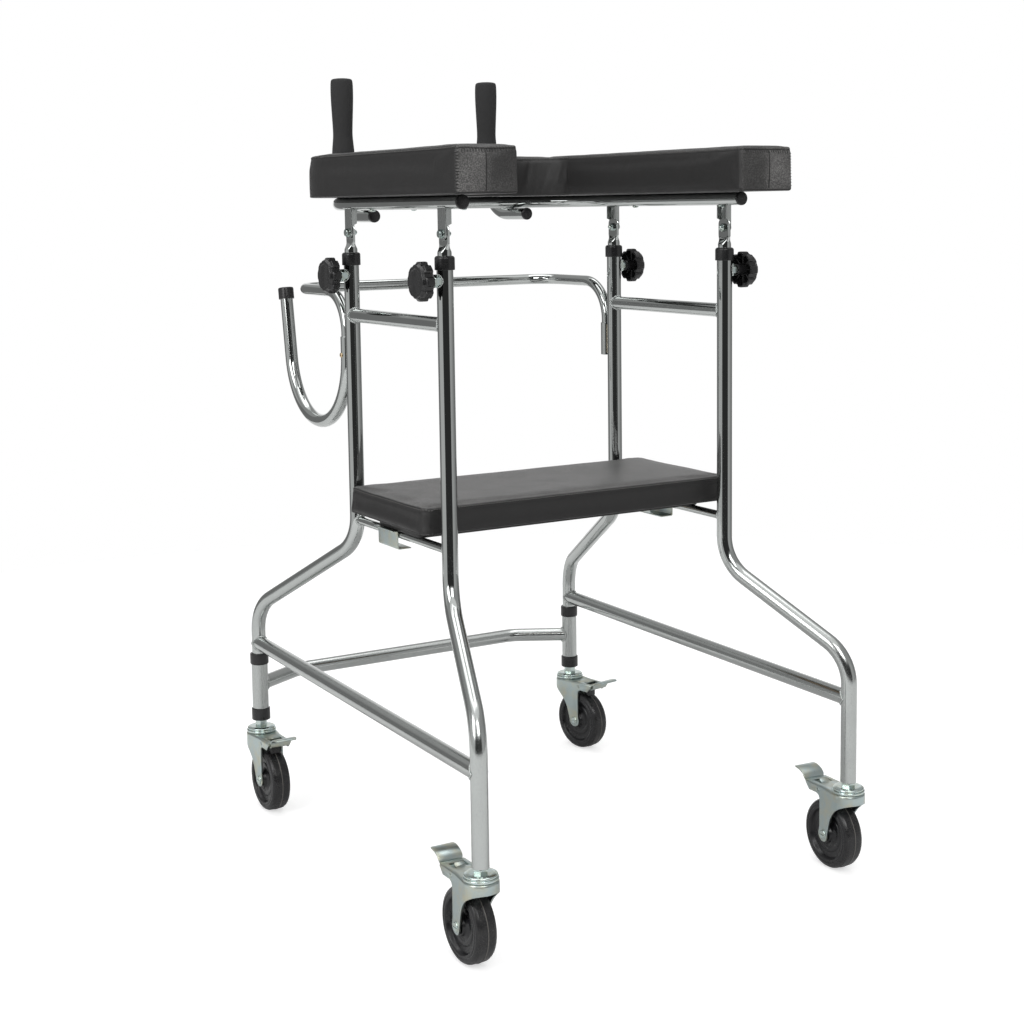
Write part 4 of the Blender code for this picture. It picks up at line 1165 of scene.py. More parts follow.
def pan_head(radius, height):
    """Round screw head with a cross recess, standing on Z = 0."""
    dome = [(radius * math.cos(a), height * (0.35 + 0.65 * math.sin(a)))
            for a in (math.pi / 2 * step / 7 for step in range(8))]
    head = lathe([(0, 0), (radius, 0), *dome[:-1], (0, height)], SMALL_ROUND)
    bar, depth = radius * 0.16, height * 0.45
    for x, y in ((radius * 0.55, bar), (bar, radius * 0.55)):
        head = cut(head, box((-x, -y, depth), (x, y, height * 2)))
    return bevelled(head, radius * 0.05)


# Places shared by several pieces


def below(node):
    """Point of the floor below the middle of a node."""
    spot = middle(node)
    return Vector((spot.x, spot.y, 0))


def upright(side, end):
    """Foot of an upright's axis on the floor."""
    return below(f"tube_collar_{'rear' if end < 0 else 'front'}_{'left' if side < 0 else 'right'}")


def foot(name):
    """Foot of a leg's lower axis, where its caster swivels."""
    return below(f"caster_mount_{name}")


def span(node):
    """Lowest and highest level of a node."""
    return [corner.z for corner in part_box(node)]


def facing(point, out, up):
    """Matrix with Z along out and X along up, at a point."""
    out, up = Vector(out), Vector(up)
    turn = Matrix((up, out.cross(up), out)).transposed()
    return Matrix.Translation(point) @ turn.to_4x4()


def leg_path(name, side, end):
    top, low = upright(side, end), foot(name)
    return rounded_path(
        [
            top + UP * LEG_TOP,
            top + UP * (SEAT_RAIL_Z - BEND_DROP[end]),
            low + UP * KNEE_Z[end],
            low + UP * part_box(f"leg_{name}")[0].z,
        ],
        [LEG_BEND_R, LEG_BEND_R],
    )


def saddle(path_end, direction, radius, cope, bead):
    """Line round a tube where it meets another's skin, for a weld bead."""
    side = direction.orthogonal().normalized()
    across = direction.cross(side)
    axis_point, axis, other, way = cope
    line = []
    for angle in around(ROUND):
        spot = path_end + (side * math.cos(angle) + across * math.sin(angle)) * (radius + bead * 0.35)
        line.append(coped(spot, direction, axis_point, axis, other + bead * 0.35, way))
    return line


def bead_row(name, lines, body, look="chrome", closed=True, size=1.0):
    """Weld bead with its ripples along each line."""
    tubes = settings("walker_tubes")
    ripple = blob(tubes.bead_radius * size)
    return row_along(name, lines, ripple, tubes.bead_pitch, look, body, closed)


# Legs, rails and collars


def weld_nut(tube_radius):
    """Bored hexagon on a tube's skin; Z out from the tube's axis, X along the tube."""
    corner, bore, top = corner_reach(WELD_NUT_AF), WELD_NUT_BORE, tube_radius + WELD_NUT
    profile = [(bore, 0), (corner, 0), (corner, top - 0.0012), (corner - 0.0011, top), (bore, top)]
    mesh = lathe(filleted(profile, 0.0003, 2, True), ROUND, hexagon(WELD_NUT_AF), True)
    for vert in mesh.vertices:
        if vert.co.z < TINY + 0.0003:
            reach = max(0.0, (tube_radius - GAP) ** 2 - vert.co.y**2)
            vert.co.z += math.sqrt(reach)
    return mesh


def build_legs():
    tubes = settings("walker_tubes")
    nut = weld_nut(tubes.leg_radius)
    reach = WELD_NUT_AF / 2 + tubes.bead_radius * 0.5
    beads = []
    for name, side, end in CORNERS:
        mesh = tube(leg_path(name, side, end), tubes.leg_radius, tubes.wall)
        pose = facing(upright(side, end) + UP * KNOB_Z, (side, 0, 0), UP)
        place(f"weld_nut_{name}", moved(nut, pose), "bright_zinc", "frame", sharp=FACET_ANGLE)
        beads.append([
            pose @ Vector((reach * math.cos(a), reach * math.sin(a),
                           math.sqrt(tubes.leg_radius**2 - (reach * math.sin(a)) ** 2)))
            for a in around(SMALL_ROUND)
        ])
        if name == "front_right":
            low = Vector((upright(side, end).x, SOCKET_Y, SOCKET_TOP - SOCKET_HEIGHT))
            socket = tube(straight(low + UP * SOCKET_HEIGHT, low), tubes.hook_radius, tubes.wall)
            mesh = together(mesh, socket)
        place(f"leg_{name}_tube", mesh, "chrome", "frame", f"leg_{name}")
    bead_row("weld_nuts", beads, "frame", size=0.7)


def build_side_rails():
    tubes = settings("walker_tubes")
    beads = []
    for side_name, side in LEFT_RIGHT:
        tops = [upright(side, end) for end in (-1, 1)]
        feet = [foot(f"rear_{side_name}"), foot(f"front_{side_name}")]
        top_z = middle(f"top_rail_{side_name}").z
        for kind, radius, ends in (
            ("top_rail", tubes.top_rail_radius, [spot + UP * top_z for spot in tops]),
            ("seat_rail", tubes.seat_rail_radius, [spot + UP * SEAT_RAIL_Z for spot in tops]),
            ("lower_rail", tubes.leg_radius,
             [spot + UP * (KNEE_Z[end] - LOWER_RAIL_DROP) for spot, end in zip(feet, (-1, 1))]),
        ):
            path = straight(*ends)
            copes = [(end, UP, tubes.leg_radius - GAP, way) for end, way in zip(ends, (1, -1))]
            mesh = tube(path, radius, tubes.wall, copes=copes)
            place(f"{kind}_{side_name}_tube", mesh, "chrome", "frame", f"{kind}_{side_name}")
            for end, cope in zip(ends, copes):
                beads.append(saddle(end, path[0][1], radius, (*cope[:2], tubes.leg_radius, cope[3]),
                                    tubes.bead_radius))
    bead_row("rail_welds", beads, "frame")


def ring_mesh(bore, outer, low, high, lip=None, lip_at_top=True):
    """Turned ring; the lip narrows its bore at one end."""
    if lip is None:
        points = [(bore, low), (outer, low), (outer, high), (bore, high)]
    elif lip_at_top:
        crown = arc((outer - COLLAR_CROWN_R, high - COLLAR_CROWN_R), COLLAR_CROWN_R, 0, 90, 6)
        points = [(bore, low), (outer, low), *crown, (lip, high), (lip, high - LIP), (bore, high - LIP)]
    else:
        points = [(bore, high), (outer, high), (outer, low), (lip, low), (lip, low + FOOT_LIP),
                  (bore, low + FOOT_LIP)]
    return lathe(filleted(points, 0.0011, 4, True), ROUND, None, True)


def build_collars():
    tubes = settings("walker_tubes")
    bore = tubes.leg_radius + GAP
    for name, side, end in CORNERS:
        lip = tubes.stem_radius + 0.0004
        mesh = ring_mesh(bore, tubes.collar_radius, *span(f"tube_collar_{name}"), lip)
        place(f"collar_{name}", moved(mesh, Matrix.Translation(upright(side, end))),
              "plastic", "frame", f"tube_collar_{name}")
    for side_name, _ in LEFT_RIGHT:
        spot = Matrix.Translation(foot(f"front_{side_name}"))
        mesh = ring_mesh(bore, tubes.foot_collar_radius, *span(f"upper_ring_{side_name}"))
        place(f"sleeve_ring_{side_name}", moved(mesh, spot), "plastic", "frame", f"upper_ring_{side_name}")
        mesh = ring_mesh(bore, tubes.foot_collar_radius, *span(f"foot_collar_{side_name}"), FOOT_LIP_R, False)
        place(f"foot_ring_{side_name}", moved(mesh, spot), "plastic", "frame", f"foot_collar_{side_name}")


# Front bars and the side hook


def build_front_bars():
    tubes = settings("walker_tubes")
    low, high = span("lower_front_bar")
    bar_z = low + FRONT_BAR_ABOVE_SLEEVE_FOOT
    ends = [foot("front_left") + UP * bar_z, foot("front_right") + UP * bar_z]
    bends = [Vector((side * FRONT_BAR_HALF, FRONT_BAR_Y, bar_z)) for _, side in LEFT_RIGHT]
    path = rounded_path([ends[0], *bends, ends[1]], [FRONT_BAR_BEND_R] * 2)
    copes = [(end, UP, tubes.sleeve_radius - GAP, way) for end, way in zip(ends, (1, -1))]
    bar = tube(path, tubes.leg_radius, tubes.wall, side=UP, copes=copes)
    place("front_bar_tube", bar, "chrome", "frame", "lower_front_bar")
    sleeve_wall = tubes.sleeve_radius - tubes.leg_radius - GAP
    beads = []
    for (side_name, _), end, cope, direction in zip(LEFT_RIGHT, ends, copes, (path[0][1], path[-1][1])):
        spot = foot(f"front_{side_name}")
        sleeve = tube(straight(spot + UP * high, spot + UP * low), tubes.sleeve_radius, sleeve_wall)
        place(f"front_bar_sleeve_{side_name}", sleeve, "satin", "frame")
        beads.append(saddle(end, direction, tubes.leg_radius, (end, UP, tubes.sleeve_radius, cope[3]),
                            tubes.bead_radius))
    bead_row("sleeve_welds", beads, "frame", "satin")


def build_hoop():
    tubes = settings("walker_tubes")
    low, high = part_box("upper_front_bar")
    x = middle("tube_collar_front_right").x
    front, top = high.y - tubes.hoop_radius, high.z - tubes.hoop_radius
    corners = [(-x, SOCKET_Y, low.z), (-x, SOCKET_Y, top), (-x, front, top),
               (x, front, top), (x, SOCKET_Y, top), (x, SOCKET_Y, low.z)]
    radii = [HOOP_RISE_R, HOOP_CORNER_R, HOOP_CORNER_R, HOOP_RISE_R]
    mesh = tube(rounded_path(corners, radii), tubes.hoop_radius, tubes.wall)
    place("hoop_tube", mesh, "chrome", "frame", "upper_front_bar")


def hook_path():
    """Centre line of the side hook, from the hoop's socket round to the far limb."""
    down = Vector((0, 0, -1))
    start = Vector((middle("tube_collar_front_left").x, SOCKET_Y, SOCKET_TOP))
    turn = start + down * HOOK_LIMB
    centre = turn + Vector((0, HOOK_R, 0))
    path = [(start, down)]
    steps = round(HOOK_SWEEP / ARC_STEP)
    for count in range(steps + 1):
        swing = Matrix.Rotation(HOOK_SWEEP * count / steps, 3, "X")
        path.append((centre + swing @ (turn - centre), swing @ down))
    point, direction = path[-1]
    path.append((point + direction * HOOK_FAR_LIMB, direction))
    return path


def build_hook():
    tubes = settings("walker_tubes")
    path = hook_path()
    place("hook_tube", tube(path, tubes.hook_radius, tubes.wall), "chrome", "frame", "side_hook")
    end, direction = path[-1]
    bore = tubes.hook_radius + GAP
    outer, top, low = bore + 0.0020, 0.0035, -0.0145
    rim = filleted([(outer, low), (outer, top), (0, top)], 0.0028, 6)
    cup = filleted([(0, GAP), (bore, GAP), (bore, low), (outer, low)], 0.0003, 2)
    mesh = lathe([*cup, *rim[1:]])
    place("hook_cap", moved(mesh, towards(end, direction)), "plastic", "frame", "side_hook_cap")
    notch = SOCKET_Y - math.sqrt(tubes.hook_radius**2 - SOCKET_NOTCH**2) - 0.0010
    screw_z = SOCKET_TOP - PLUG_SCREW_DROP
    seams, spots = [], []
    for _, side in LEFT_RIGHT:
        post = upright(side, 1)
        drops = (0.004, SOCKET_HEIGHT - 0.004 if side > 0 else HOOK_LIMB - 0.002)
        for way in (-1, 1):
            seams.append([Vector((post.x + way * SOCKET_NOTCH, notch, SOCKET_TOP - drop)) for drop in drops])
        spots.append(
            (Vector((post.x + side * (tubes.hook_radius - 0.0003), SOCKET_Y, screw_z)), (side, 0, 0))
        )
    bead_row("socket_welds", seams, "frame", "weld", False, 1.1)
    set_at("plug_screws", spots, pan_head(0.0036, 0.0024), "screw", "frame")


# Forearm rest tubes


def stem_mesh(tubes, low, high):
    """Tube pressed flat at its top; the press starts in an arch on both faces."""
    radius, flat = tubes.stem_radius, STEM_FLAT_HALF
    wide = math.pi * radius / 2 - 0.001
    crease, bore = STEM_CREASE_Z, radius - 0.001
    rise = high - crease + STEM_ARCH
    bm = bmesh.new()
    heights = [low + 0.0003, *(crease - STEM_ARCH + rise * step / 40 for step in range(40)), high]
    outer = []
    for height in heights:
        ring = []
        spread = smoothed((height - crease) / STEM_PRESS)
        tip = max(0.0, (height - (high - 0.007)) / 0.007)
        for angle in around(ROUND):
            triangle = math.asin(math.sin(angle)) * 2 / math.pi
            arch = STEM_ARCH * (1 - 2 * triangle**2)
            press = smoothed((height - crease + arch) / STEM_PRESS)
            level = flat * (1 - abs(triangle) ** 10) ** 0.5 * math.copysign(1, math.cos(angle))
            x = radius * math.cos(angle) * (1 - press) + level * press
            y = radius * math.sin(angle) * (1 - spread) + wide * triangle * spread
            ring.append(bm.verts.new((x, y * (1 - 0.30 * tip**2), height)))
        outer.append(ring)
    inner = [
        [bm.verts.new((bore * math.cos(a), bore * math.sin(a), height)) for a in around(ROUND)]
        for height in (crease - STEM_ARCH - 0.004, low)
    ]
    filled_skin(bm, [*inner, *outer])
    return to_mesh(bm)


def smoothed(share):
    """Share held between 0 and 1, with soft ends."""
    share = min(1.0, max(0.0, share))
    return share * share * (3 - 2 * share)


def build_stems():
    tubes = settings("walker_tubes")
    heads, nuts = [], []
    for name, side, end in CORNERS:
        low, high = span(f"stem_{name}")
        mesh = stem_mesh(tubes, low, high)
        spot = upright(side, end)
        place(f"stem_{name}_tube", moved(mesh, Matrix.Translation(spot)), "chrome", "armrest", f"stem_{name}")
        bolt = spot + UP * (high - STEM_FLAT)
        heads.append((Vector((side * BRACKET_OUTSIDE, bolt.y, bolt.z)), (side, 0, 0)))
        nuts.append((bolt - Vector((side * STEM_FLAT_HALF, 0, 0)), (-side, 0, 0)))
    set_at("stem_bolts", heads, hex_head(0.010, 0.0052), "bright_zinc", "armrest")
    set_at("stem_nuts", nuts, dome_nut(0.010, 0.0085), "bright_zinc", "armrest")


def bracket_mesh(side, y, bolt_z, top):
    """Channel with a round end and two short flanges."""
    half = BRACKET_HALF
    inner = side * (BRACKET_OUTSIDE - BRACKET_SHEET)
    outline = [(y + half, top), (y - half, top), (y - half, bolt_z)]
    outline += [(y + p.x * half, bolt_z - p.y * 0.0095) for p in arc((0, 0), 1, 180, 0, 16)[1:-1]]
    outline += [(y + half, bolt_z)]
    near, far = sorted((inner, side * BRACKET_OUTSIDE))
    mesh = prism(outline, near, far, "X")
    near, far = sorted((side * BRACKET_OUTSIDE, inner - side * BRACKET_FLANGE))
    low = bolt_z + 0.0090
    for edge in (y - half, y + half - BRACKET_SHEET):
        slope = [(near, low), (far, low), (far, top), (near, top)]
        slope[0 if side > 0 else 1] = (slope[0 if side > 0 else 1][0], low + 0.004)
        flange = prism(slope, edge, edge + BRACKET_SHEET, "Y")
        mesh = combined(mesh, flange, "UNION")
    return bevelled(mesh, 0.0006, 3)


def build_arm_tube():
    tubes = settings("walker_tubes")
    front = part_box("armrest_tube")[1].y - tubes.arm_radius
    rear = {name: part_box(f"armrest_cap_{name}")[0].y + CAP_HEAD for name, _ in LEFT_RIGHT}
    x, z = middle("armrest_cap_right").x, middle("armrest_cap_right").z
    corners = [(-x, rear["left"], z), (-x, front, z), (x, front, z), (x, rear["right"], z)]
    path = rounded_path(corners, [ARM_CORNER_R] * 2)
    mesh = tube(path, tubes.arm_radius, tubes.wall, side=UP)
    place("arm_tube", mesh, "chrome", "armrest", "armrest_tube")
    beads, screws = [], []
    for name, side, end in CORNERS:
        spot = upright(side, end)
        bolt_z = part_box(f"stem_{name}")[1].z - STEM_FLAT
        place(f"bracket_{name}", bracket_mesh(side, spot.y, bolt_z, z), "satin", "armrest")
        for sheet_x in (BRACKET_OUTSIDE, BRACKET_OUTSIDE - BRACKET_SHEET):
            under = z - math.sqrt(tubes.arm_radius**2 - (sheet_x - x) ** 2)
            beads.append([(side * sheet_x, spot.y + way * (BRACKET_HALF - 0.002), under - 0.0003)
                          for way in (-1, 1)])
    bead_row("bracket_welds", beads, "armrest", "chrome", False, 0.8)
    for side in (-1, 1):
        for y in (rear["left"] + 0.045, (rear["left"] + front) / 2 + 0.02):
            screws.append((Vector((side * x, y, z - tubes.arm_radius + GAP)), (0, 0, -1)))
        screws.append((Vector((side * 0.045, front, z - tubes.arm_radius + GAP)), (0, 0, -1)))
    set_at("pad_screws", screws, pan_head(0.0045, 0.0028), "bright_zinc", "armrest")


def plug_mesh(radius, bore):
    """Plastic plug; Z points out of the tube, from its end face."""
    head = filleted([(radius, GAP), (radius, CAP_HEAD), (0, CAP_HEAD + 0.0008)], 0.0018, 5)
    return lathe([(0, -0.012), (bore, -0.012), (bore, GAP), *head])


def build_handles():
    tubes = settings("walker_tubes")
    joins = []
    arm_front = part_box("armrest_tube")[1].y - tubes.arm_radius
    plug = plug_mesh(tubes.arm_radius + 0.0004, tubes.arm_radius - tubes.wall - GAP)
    for side_name, side in LEFT_RIGHT:
        end = middle(f"armrest_cap_{side_name}")
        end.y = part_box(f"armrest_cap_{side_name}")[0].y + CAP_HEAD
        place(f"arm_plug_{side_name}", moved(plug, towards(end, (0, -1, 0))), "plastic", "armrest",
              f"armrest_cap_{side_name}")
        grip = middle(f"hand_grip_{side_name}")
        height = middle(f"handle_cap_{side_name}").z
        pose = Matrix.Translation((grip.x, grip.y, height)) @ Matrix.Rotation(side * HANDLE_SPLAY, 4, "Z")
        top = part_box(f"hand_grip_{side_name}")[1].z - height - 0.010
        path = rounded_path([(0, -HANDLE_LENGTH, 0), (0, 0, 0), (0, 0, top)], [HANDLE_BEND_R])
        mesh = tube(path, tubes.arm_radius, tubes.wall)
        place(f"handle_{side_name}", moved(mesh, pose), "chrome", "armrest", f"handle_tube_{side_name}")
        plug_pose = pose @ towards((0, -HANDLE_LENGTH, 0), (0, -1, 0))
        place(f"handle_plug_{side_name}", moved(plug, plug_pose), "plastic", "armrest",
              f"handle_cap_{side_name}")
        joins.append([
            (grip.x + 0.0052 * math.cos(a), arm_front + 0.0052 * math.sin(a), height + tubes.arm_radius)
            for a in around(SMALL_ROUND)
        ])
    bead_row("handle_welds", joins, "armrest")


def build_grips():
    bore = settings("walker_tubes").arm_radius + GAP
    for side_name, _ in LEFT_RIGHT:
        low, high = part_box(f"hand_grip_{side_name}")
        spot = middle(f"hand_grip_{side_name}")
        long = high.z - low.z
        outside = smooth_line([(0.0168, 0.0), (0.0180, 0.0012), (0.0182, 0.0040), (0.0181, 0.015),
                               (0.0174, 0.032), (0.0162, 0.045), (0.0154, 0.056), (0.0156, 0.068),
                               (0.0165, 0.088), (0.0174, 0.108), (0.0177, 0.124), (0.0172, long - 0.0060),
                               (0.0152, long - 0.0014), (0.0090, long)], 4)
        inside = [(0, long - 0.006), (bore, long - 0.006), (bore, 0.0006), (bore + 0.0006, 0)]
        mesh = lathe([*inside, *outside, (0, long + 0.0004)], ROUND)
        pose = Matrix.Translation((spot.x, spot.y, low.z))
        place(f"grip_{side_name}", moved(mesh, pose), "foam", "armrest", f"hand_grip_{side_name}")


# Knobs


def knob_mesh(s):
    """Lobed head, hollow behind, with its hub and ribs. Z out from the upright's axis."""
    hub_back = settings("walker_tubes").leg_radius + WELD_NUT + GAP
    back = hub_back + KNOB_HUB
    front = back + s.depth
    floor = front - KNOB_FACE

    def lobes(angle, radius):
        share = 0.2 * smoothed((radius - 0.012) / 0.006)
        share += 0.8 * smoothed((radius - s.radius + 0.0022) / 0.0018)
        valley = smoothed((abs(math.sin(s.lobes * angle / 2)) - 0.78) / 0.14)
        return radius - s.lobe_depth * valley * share

    pocket = s.radius - s.wall
    rim = filleted(
        [(pocket, floor), (pocket, back), (s.radius, back), (s.radius, front - s.shoulder * 1.3),
         (s.radius - 0.0022, front - s.shoulder), (s.radius - s.shoulder, front), (s.radius * 0.68, front),
         (s.radius * 0.60, front - 0.0012)],
        0.0013, 4,
    )
    head = lathe([(0, floor), *rim, (0, front - 0.0004)], s.lobes * LOBE_POINTS, lobes)
    hub = lathe(filleted([(s.stud_radius, hub_back), (0.0080, hub_back), (0.0084, floor + 0.001),
                          (s.stud_radius, floor + 0.001)], 0.0006, 3, True), SMALL_ROUND, None, True)
    reach = s.radius - s.lobe_depth - s.wall / 2
    rib = box((0.0075, -0.0008, back + 0.0055), (reach, 0.0008, floor + 0.001))
    ribs = [moved(rib, Matrix.Rotation(angle, 4, "Z")) for angle in around(8)]
    return together(head, hub, *ribs)


def stud_mesh(s):
    """Threaded stud from the knob's hub to the stem."""
    start = settings("walker_tubes").stem_radius + GAP
    end = settings("walker_tubes").leg_radius + WELD_NUT + 0.012
    turns = int((end - start) / s.thread_pitch)
    profile = [(0, start)]
    for turn in range(turns):
        base = start + turn * s.thread_pitch
        profile += [(s.stud_radius - 0.0005, base), (s.stud_radius, base + s.thread_pitch / 2)]
    return lathe([*profile, (s.stud_radius - 0.0005, end), (0, end)], SMALL_ROUND)


def build_knobs():
    s = settings("walker_knobs")
    head, stud = knob_mesh(s), stud_mesh(s)
    for name, side, end in CORNERS:
        pose = facing(upright(side, end) + UP * KNOB_Z, (side, 0, 0), UP)
        place(f"knob_head_{name}", moved(head, pose), "plastic", f"knob_{name}", f"knob_{name}")
        place(f"knob_stud_{name}", moved(stud, pose), "bright_zinc", f"knob_{name}")


# Upholstery


def swollen(shape, limit, held_below):
    """The cut shape after it has swollen under pressure, its underside held and its edges crisp."""
    s = settings("walker_padding")
    refine = ("SUBSURF", {"levels": 1, "render_levels": 1})
    mesh = modified(shape, ("REMESH", {"mode": "VOXEL", "voxel_size": s.voxel}))
    rest = modified(mesh, refine)
    scene = bpy.context.scene
    carrier = linked("padding", mesh)
    held = carrier.vertex_groups.new(name="held")
    held.add([v.index for v in mesh.vertices if v.co.z < held_below], 1.0, "REPLACE")
    cloth = carrier.modifiers.new("Cloth", "CLOTH")
    cloth.settings.use_pressure = True
    cloth.settings.uniform_pressure_force = s.pressure
    cloth.settings.vertex_group_mass = "held"
    cloth.settings.effector_weights.gravity = 0
    for number in range(1, CLOTH_FRAMES + 1):
        scene.frame_set(number)
    blown = carrier.evaluated_get(bpy.context.evaluated_depsgraph_get()).data
    shifts = [far.co - near.co for near, far in zip(mesh.vertices, blown.vertices)]
    bpy.data.objects.remove(carrier)
    scene.frame_set(1)
    for vert, shift in zip(mesh.vertices, shifts):
        if shift.length > TINY:
            vert.co += shift.normalized() * limit * math.tanh(shift.length / limit)
    mesh = modified(mesh, refine)
    tree = tree_of(shape)
    for vert, start in zip(mesh.vertices, rest.vertices):
        vert.co += tree.find_nearest(start.co)[0] - start.co
    return mesh


def on_skin(tree, points):
    """Each point moved to the nearest place on a surface, with the surface's normal there."""
    found = [tree.find_nearest(Vector(point)) for point in points]
    return [(spot, normal) for spot, normal, _, _ in found]


def welt(points, radius, closed=True, sides=8):
    """Thin round fold along a line on the upholstery."""
    bm = bmesh.new()
    rings = []
    count = len(points)
    for index, (spot, normal) in enumerate(points):
        after = points[(index + 1) % count if closed else min(index + 1, count - 1)][0]
        before = points[index - 1 if closed else max(index - 1, 0)][0]
        along = (after - before).normalized()
        across = along.cross(normal).normalized()
        ways = [across * math.cos(a) + normal * math.sin(a) for a in around(sides)]
        rings.append([bm.verts.new(spot + way * radius - normal * radius * 0.35) for way in ways])
    if closed:
        skin(bm, [*rings, rings[0]])
    else:
        filled_skin(bm, rings)
    return to_mesh(bm)


def spaced(outline, level, gap=0.004):
    """Points at an even spacing round a closed outline, at a height."""
    outline = [Vector(point) for point in outline]
    made = []
    for start, end in zip(outline, [*outline[1:], outline[0]]):
        steps = max(1, round((end - start).length / gap))
        made += [start.lerp(end, step / steps) for step in range(steps)]
    return [Vector((point.x, point.y, level)) for point in made]


def creased(mesh, line, depth, width):
    """The mesh pressed in along a line on its skin."""
    size = len(line)
    tree = BVHTree.FromPolygons(
        [spot for spot, _ in line],
        [(i, (i + 1) % size, (i + 2) % size) for i in range(size)],
        epsilon=0.0,
    )
    normals = [vert.normal.copy() for vert in mesh.vertices]
    for vert, normal in zip(mesh.vertices, normals):
        spot, _, _, distance = tree.find_nearest(vert.co, width * 2.5)
        if spot is not None:
            vert.co -= normal * depth * math.exp(-((distance / width) ** 2))
    return mesh


def rumpled(mesh, size, grain, low):
    """Slight unevenness of padding under its cover, fading out at the underside."""
    normals = [vert.normal.copy() for vert in mesh.vertices]
    for vert, normal in zip(mesh.vertices, normals):
        lift = noise.noise(vert.co * grain) + 0.5 * noise.noise(vert.co * grain * 2.3)
        vert.co += normal * size * lift * smoothed((vert.co.z - low) / 0.012)
    return mesh


def upholster(name, outline, low, high, limit, fall, node, body, lightened, seams=(), puckers=()):
    """Padding with its edge seam, its stitches and any further seams and puckered corners."""
    s = settings("walker_padding")
    start = rims_rounded(prism(outline(-0.0005), low, high - fall), s.edge, [low, high - fall])
    skin_mesh = rumpled(swollen(start, limit, low + s.voxel * 1.2), 0.00035, 20.0, low)
    tree = tree_of(skin_mesh)
    seam = on_skin(tree, spaced(outline(0), high - s.seam_drop))
    skin_mesh = creased(skin_mesh, seam, s.seam_depth, 0.0024)
    tree = tree_of(skin_mesh)
    seam = on_skin(tree, spaced(outline(0), high - s.seam_drop))
    # Mask of painted sheen on the cover's points, read by the vinyl for its colour, gloss and grain.
    layer = skin_mesh.attributes.new("lightened", "FLOAT", "POINT")
    layer.data.foreach_set("value", [lightened(v.co, v.normal) for v in skin_mesh.vertices])
    piece = place(name, skin_mesh, "vinyl", body, node, sharp=PADDING_ANGLE)
    hem = on_skin(tree, [p + UP * 0.0006 * noise.noise(p * 60) for p in spaced(outline(0), low + 0.0016)])
    place(f"{name}_welt", together(welt(seam, 0.0007), welt(hem, 0.0011)), "vinyl", body)
    pleat = blob(s.pleat_radius, 0.30)
    if puckers:
        lines = [[spot - normal * s.pleat_radius * 0.76 for spot, normal in on_skin(tree, line)]
                 for line in puckers]
        row_along(f"{name}_puckers", lines, pleat, s.pleat_pitch, "vinyl", body, False)
    if seams:
        folds = [welt(on_skin(tree, line), 0.0010, False) for line in seams]
        place(f"{name}_seams", together(*folds), "vinyl", body)
    stitches = on_skin(tree, spaced(outline(0), high - s.seam_drop + 0.0022, 0.002))
    lines = [[spot + normal * 0.0001 for spot, normal in stitches]]
    row_along(f"{name}_stitches", lines, stitch(s.stitch_length, s.thread_radius), s.stitch_pitch,
              "thread", body)


def tree_of(mesh):
    """Search tree over a mesh's faces."""
    bm = bmesh.new()
    bm.from_mesh(mesh)
    tree = BVHTree.FromBMesh(bm)
    bm.free()
    return tree


def pad_outline(inset):
    """Plan of the forearm pad, moved in from its edge."""
    low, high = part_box("armrest_pad")
    half, rear, front = high.x - inset, low.y + inset, high.y - inset
    inner, inner_front = high.x - PAD_ARM + inset, high.y - PAD_ARM + inset
    wide, tight, end = PAD_CORNER_R - inset, PAD_INNER_R + inset, max(0.002, PAD_END_R - inset)
    right = arc((half - end, rear + end), end, -90, 0, 6)
    right += arc((half - wide, front - wide), wide, 0, 90, 24)
    back = arc((inner - tight, inner_front - tight), tight, 90, 0, 14)
    back += arc((inner + end, rear + end), end, 180, 270, 6)
    left = [Vector((-p.x, p.y)) for p in reversed(right)]
    left_back = [Vector((-p.x, p.y)) for p in reversed(back)]
    return right + left + left_back + back


def build_forearm_pad():
    s = settings("walker_padding")
    low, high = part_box("armrest_pad")
    seams, puckers = [], []
    drops = [(low.z + 0.004) + (high.z - s.seam_drop - low.z - 0.004) * step / 20 for step in range(21)]
    for side in (-1, 1):
        x = side * (high.x - PAD_ARM * 0.47)
        seams.append([(x, low.y, level) for level in reversed(drops)])
        inner, outer = side * (high.x - PAD_ARM), side * high.x
        puckers.append([(outer - side * 0.004, low.y + 0.004, level)
                        for level in drops if level < high.z - 0.009])
        puckers.append([(outer + (inner - outer) * step / 20, low.y, high.z - 0.0075)
                        for step in range(2, 19)])

    def lightened(spot, normal):
        """Painted sheen, standing in for the lamps' glints, at the two rear ends, most on their outer halves.
        """
        across = (high.x - abs(spot.x)) / PAD_ARM
        return smoothed((-normal.y - 0.5) * 3) * (0.35 + 0.65 * smoothed((0.60 - across) * 5)) * (spot.y < 0)

    upholster("forearm_pad", pad_outline, low.z, high.z, s.pad_swell, 0.0010, "armrest_pad", "armrest",
              lightened, seams, puckers)


def seat_outline(inset):
    """Plan of the seat, moved in from its edge."""
    low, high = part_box("seat_cushion")
    radius = SEAT_CORNER_R - inset
    front, middle_y = high.y + SEAT_BULGE, middle("seat_cushion").y
    points = []
    for x, y, turn in ((high.x, front, 0), (low.x, front, 90), (low.x, low.y, 180), (high.x, low.y, 270)):
        centre = (x - math.copysign(radius + inset, x), y - math.copysign(radius + inset, y - middle_y))
        points += arc(centre, radius, turn, turn + 90, 10)
    return points


def board_outline(inset):
    """Plan of the board below the padding, narrow enough to stay out of sight at its long sides."""
    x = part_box("seat_board")[1].x - BOARD_END_INSET - inset
    low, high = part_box("seat_cushion")
    middle_y, half = (low.y + high.y) / 2, (high.y - low.y) / 2 - BOARD_SIDE_INSET - inset
    corners = [(x, middle_y - half), (x, middle_y + half), (-x, middle_y + half), (-x, middle_y - half)]
    return filleted(corners, 0.012, 5, True)


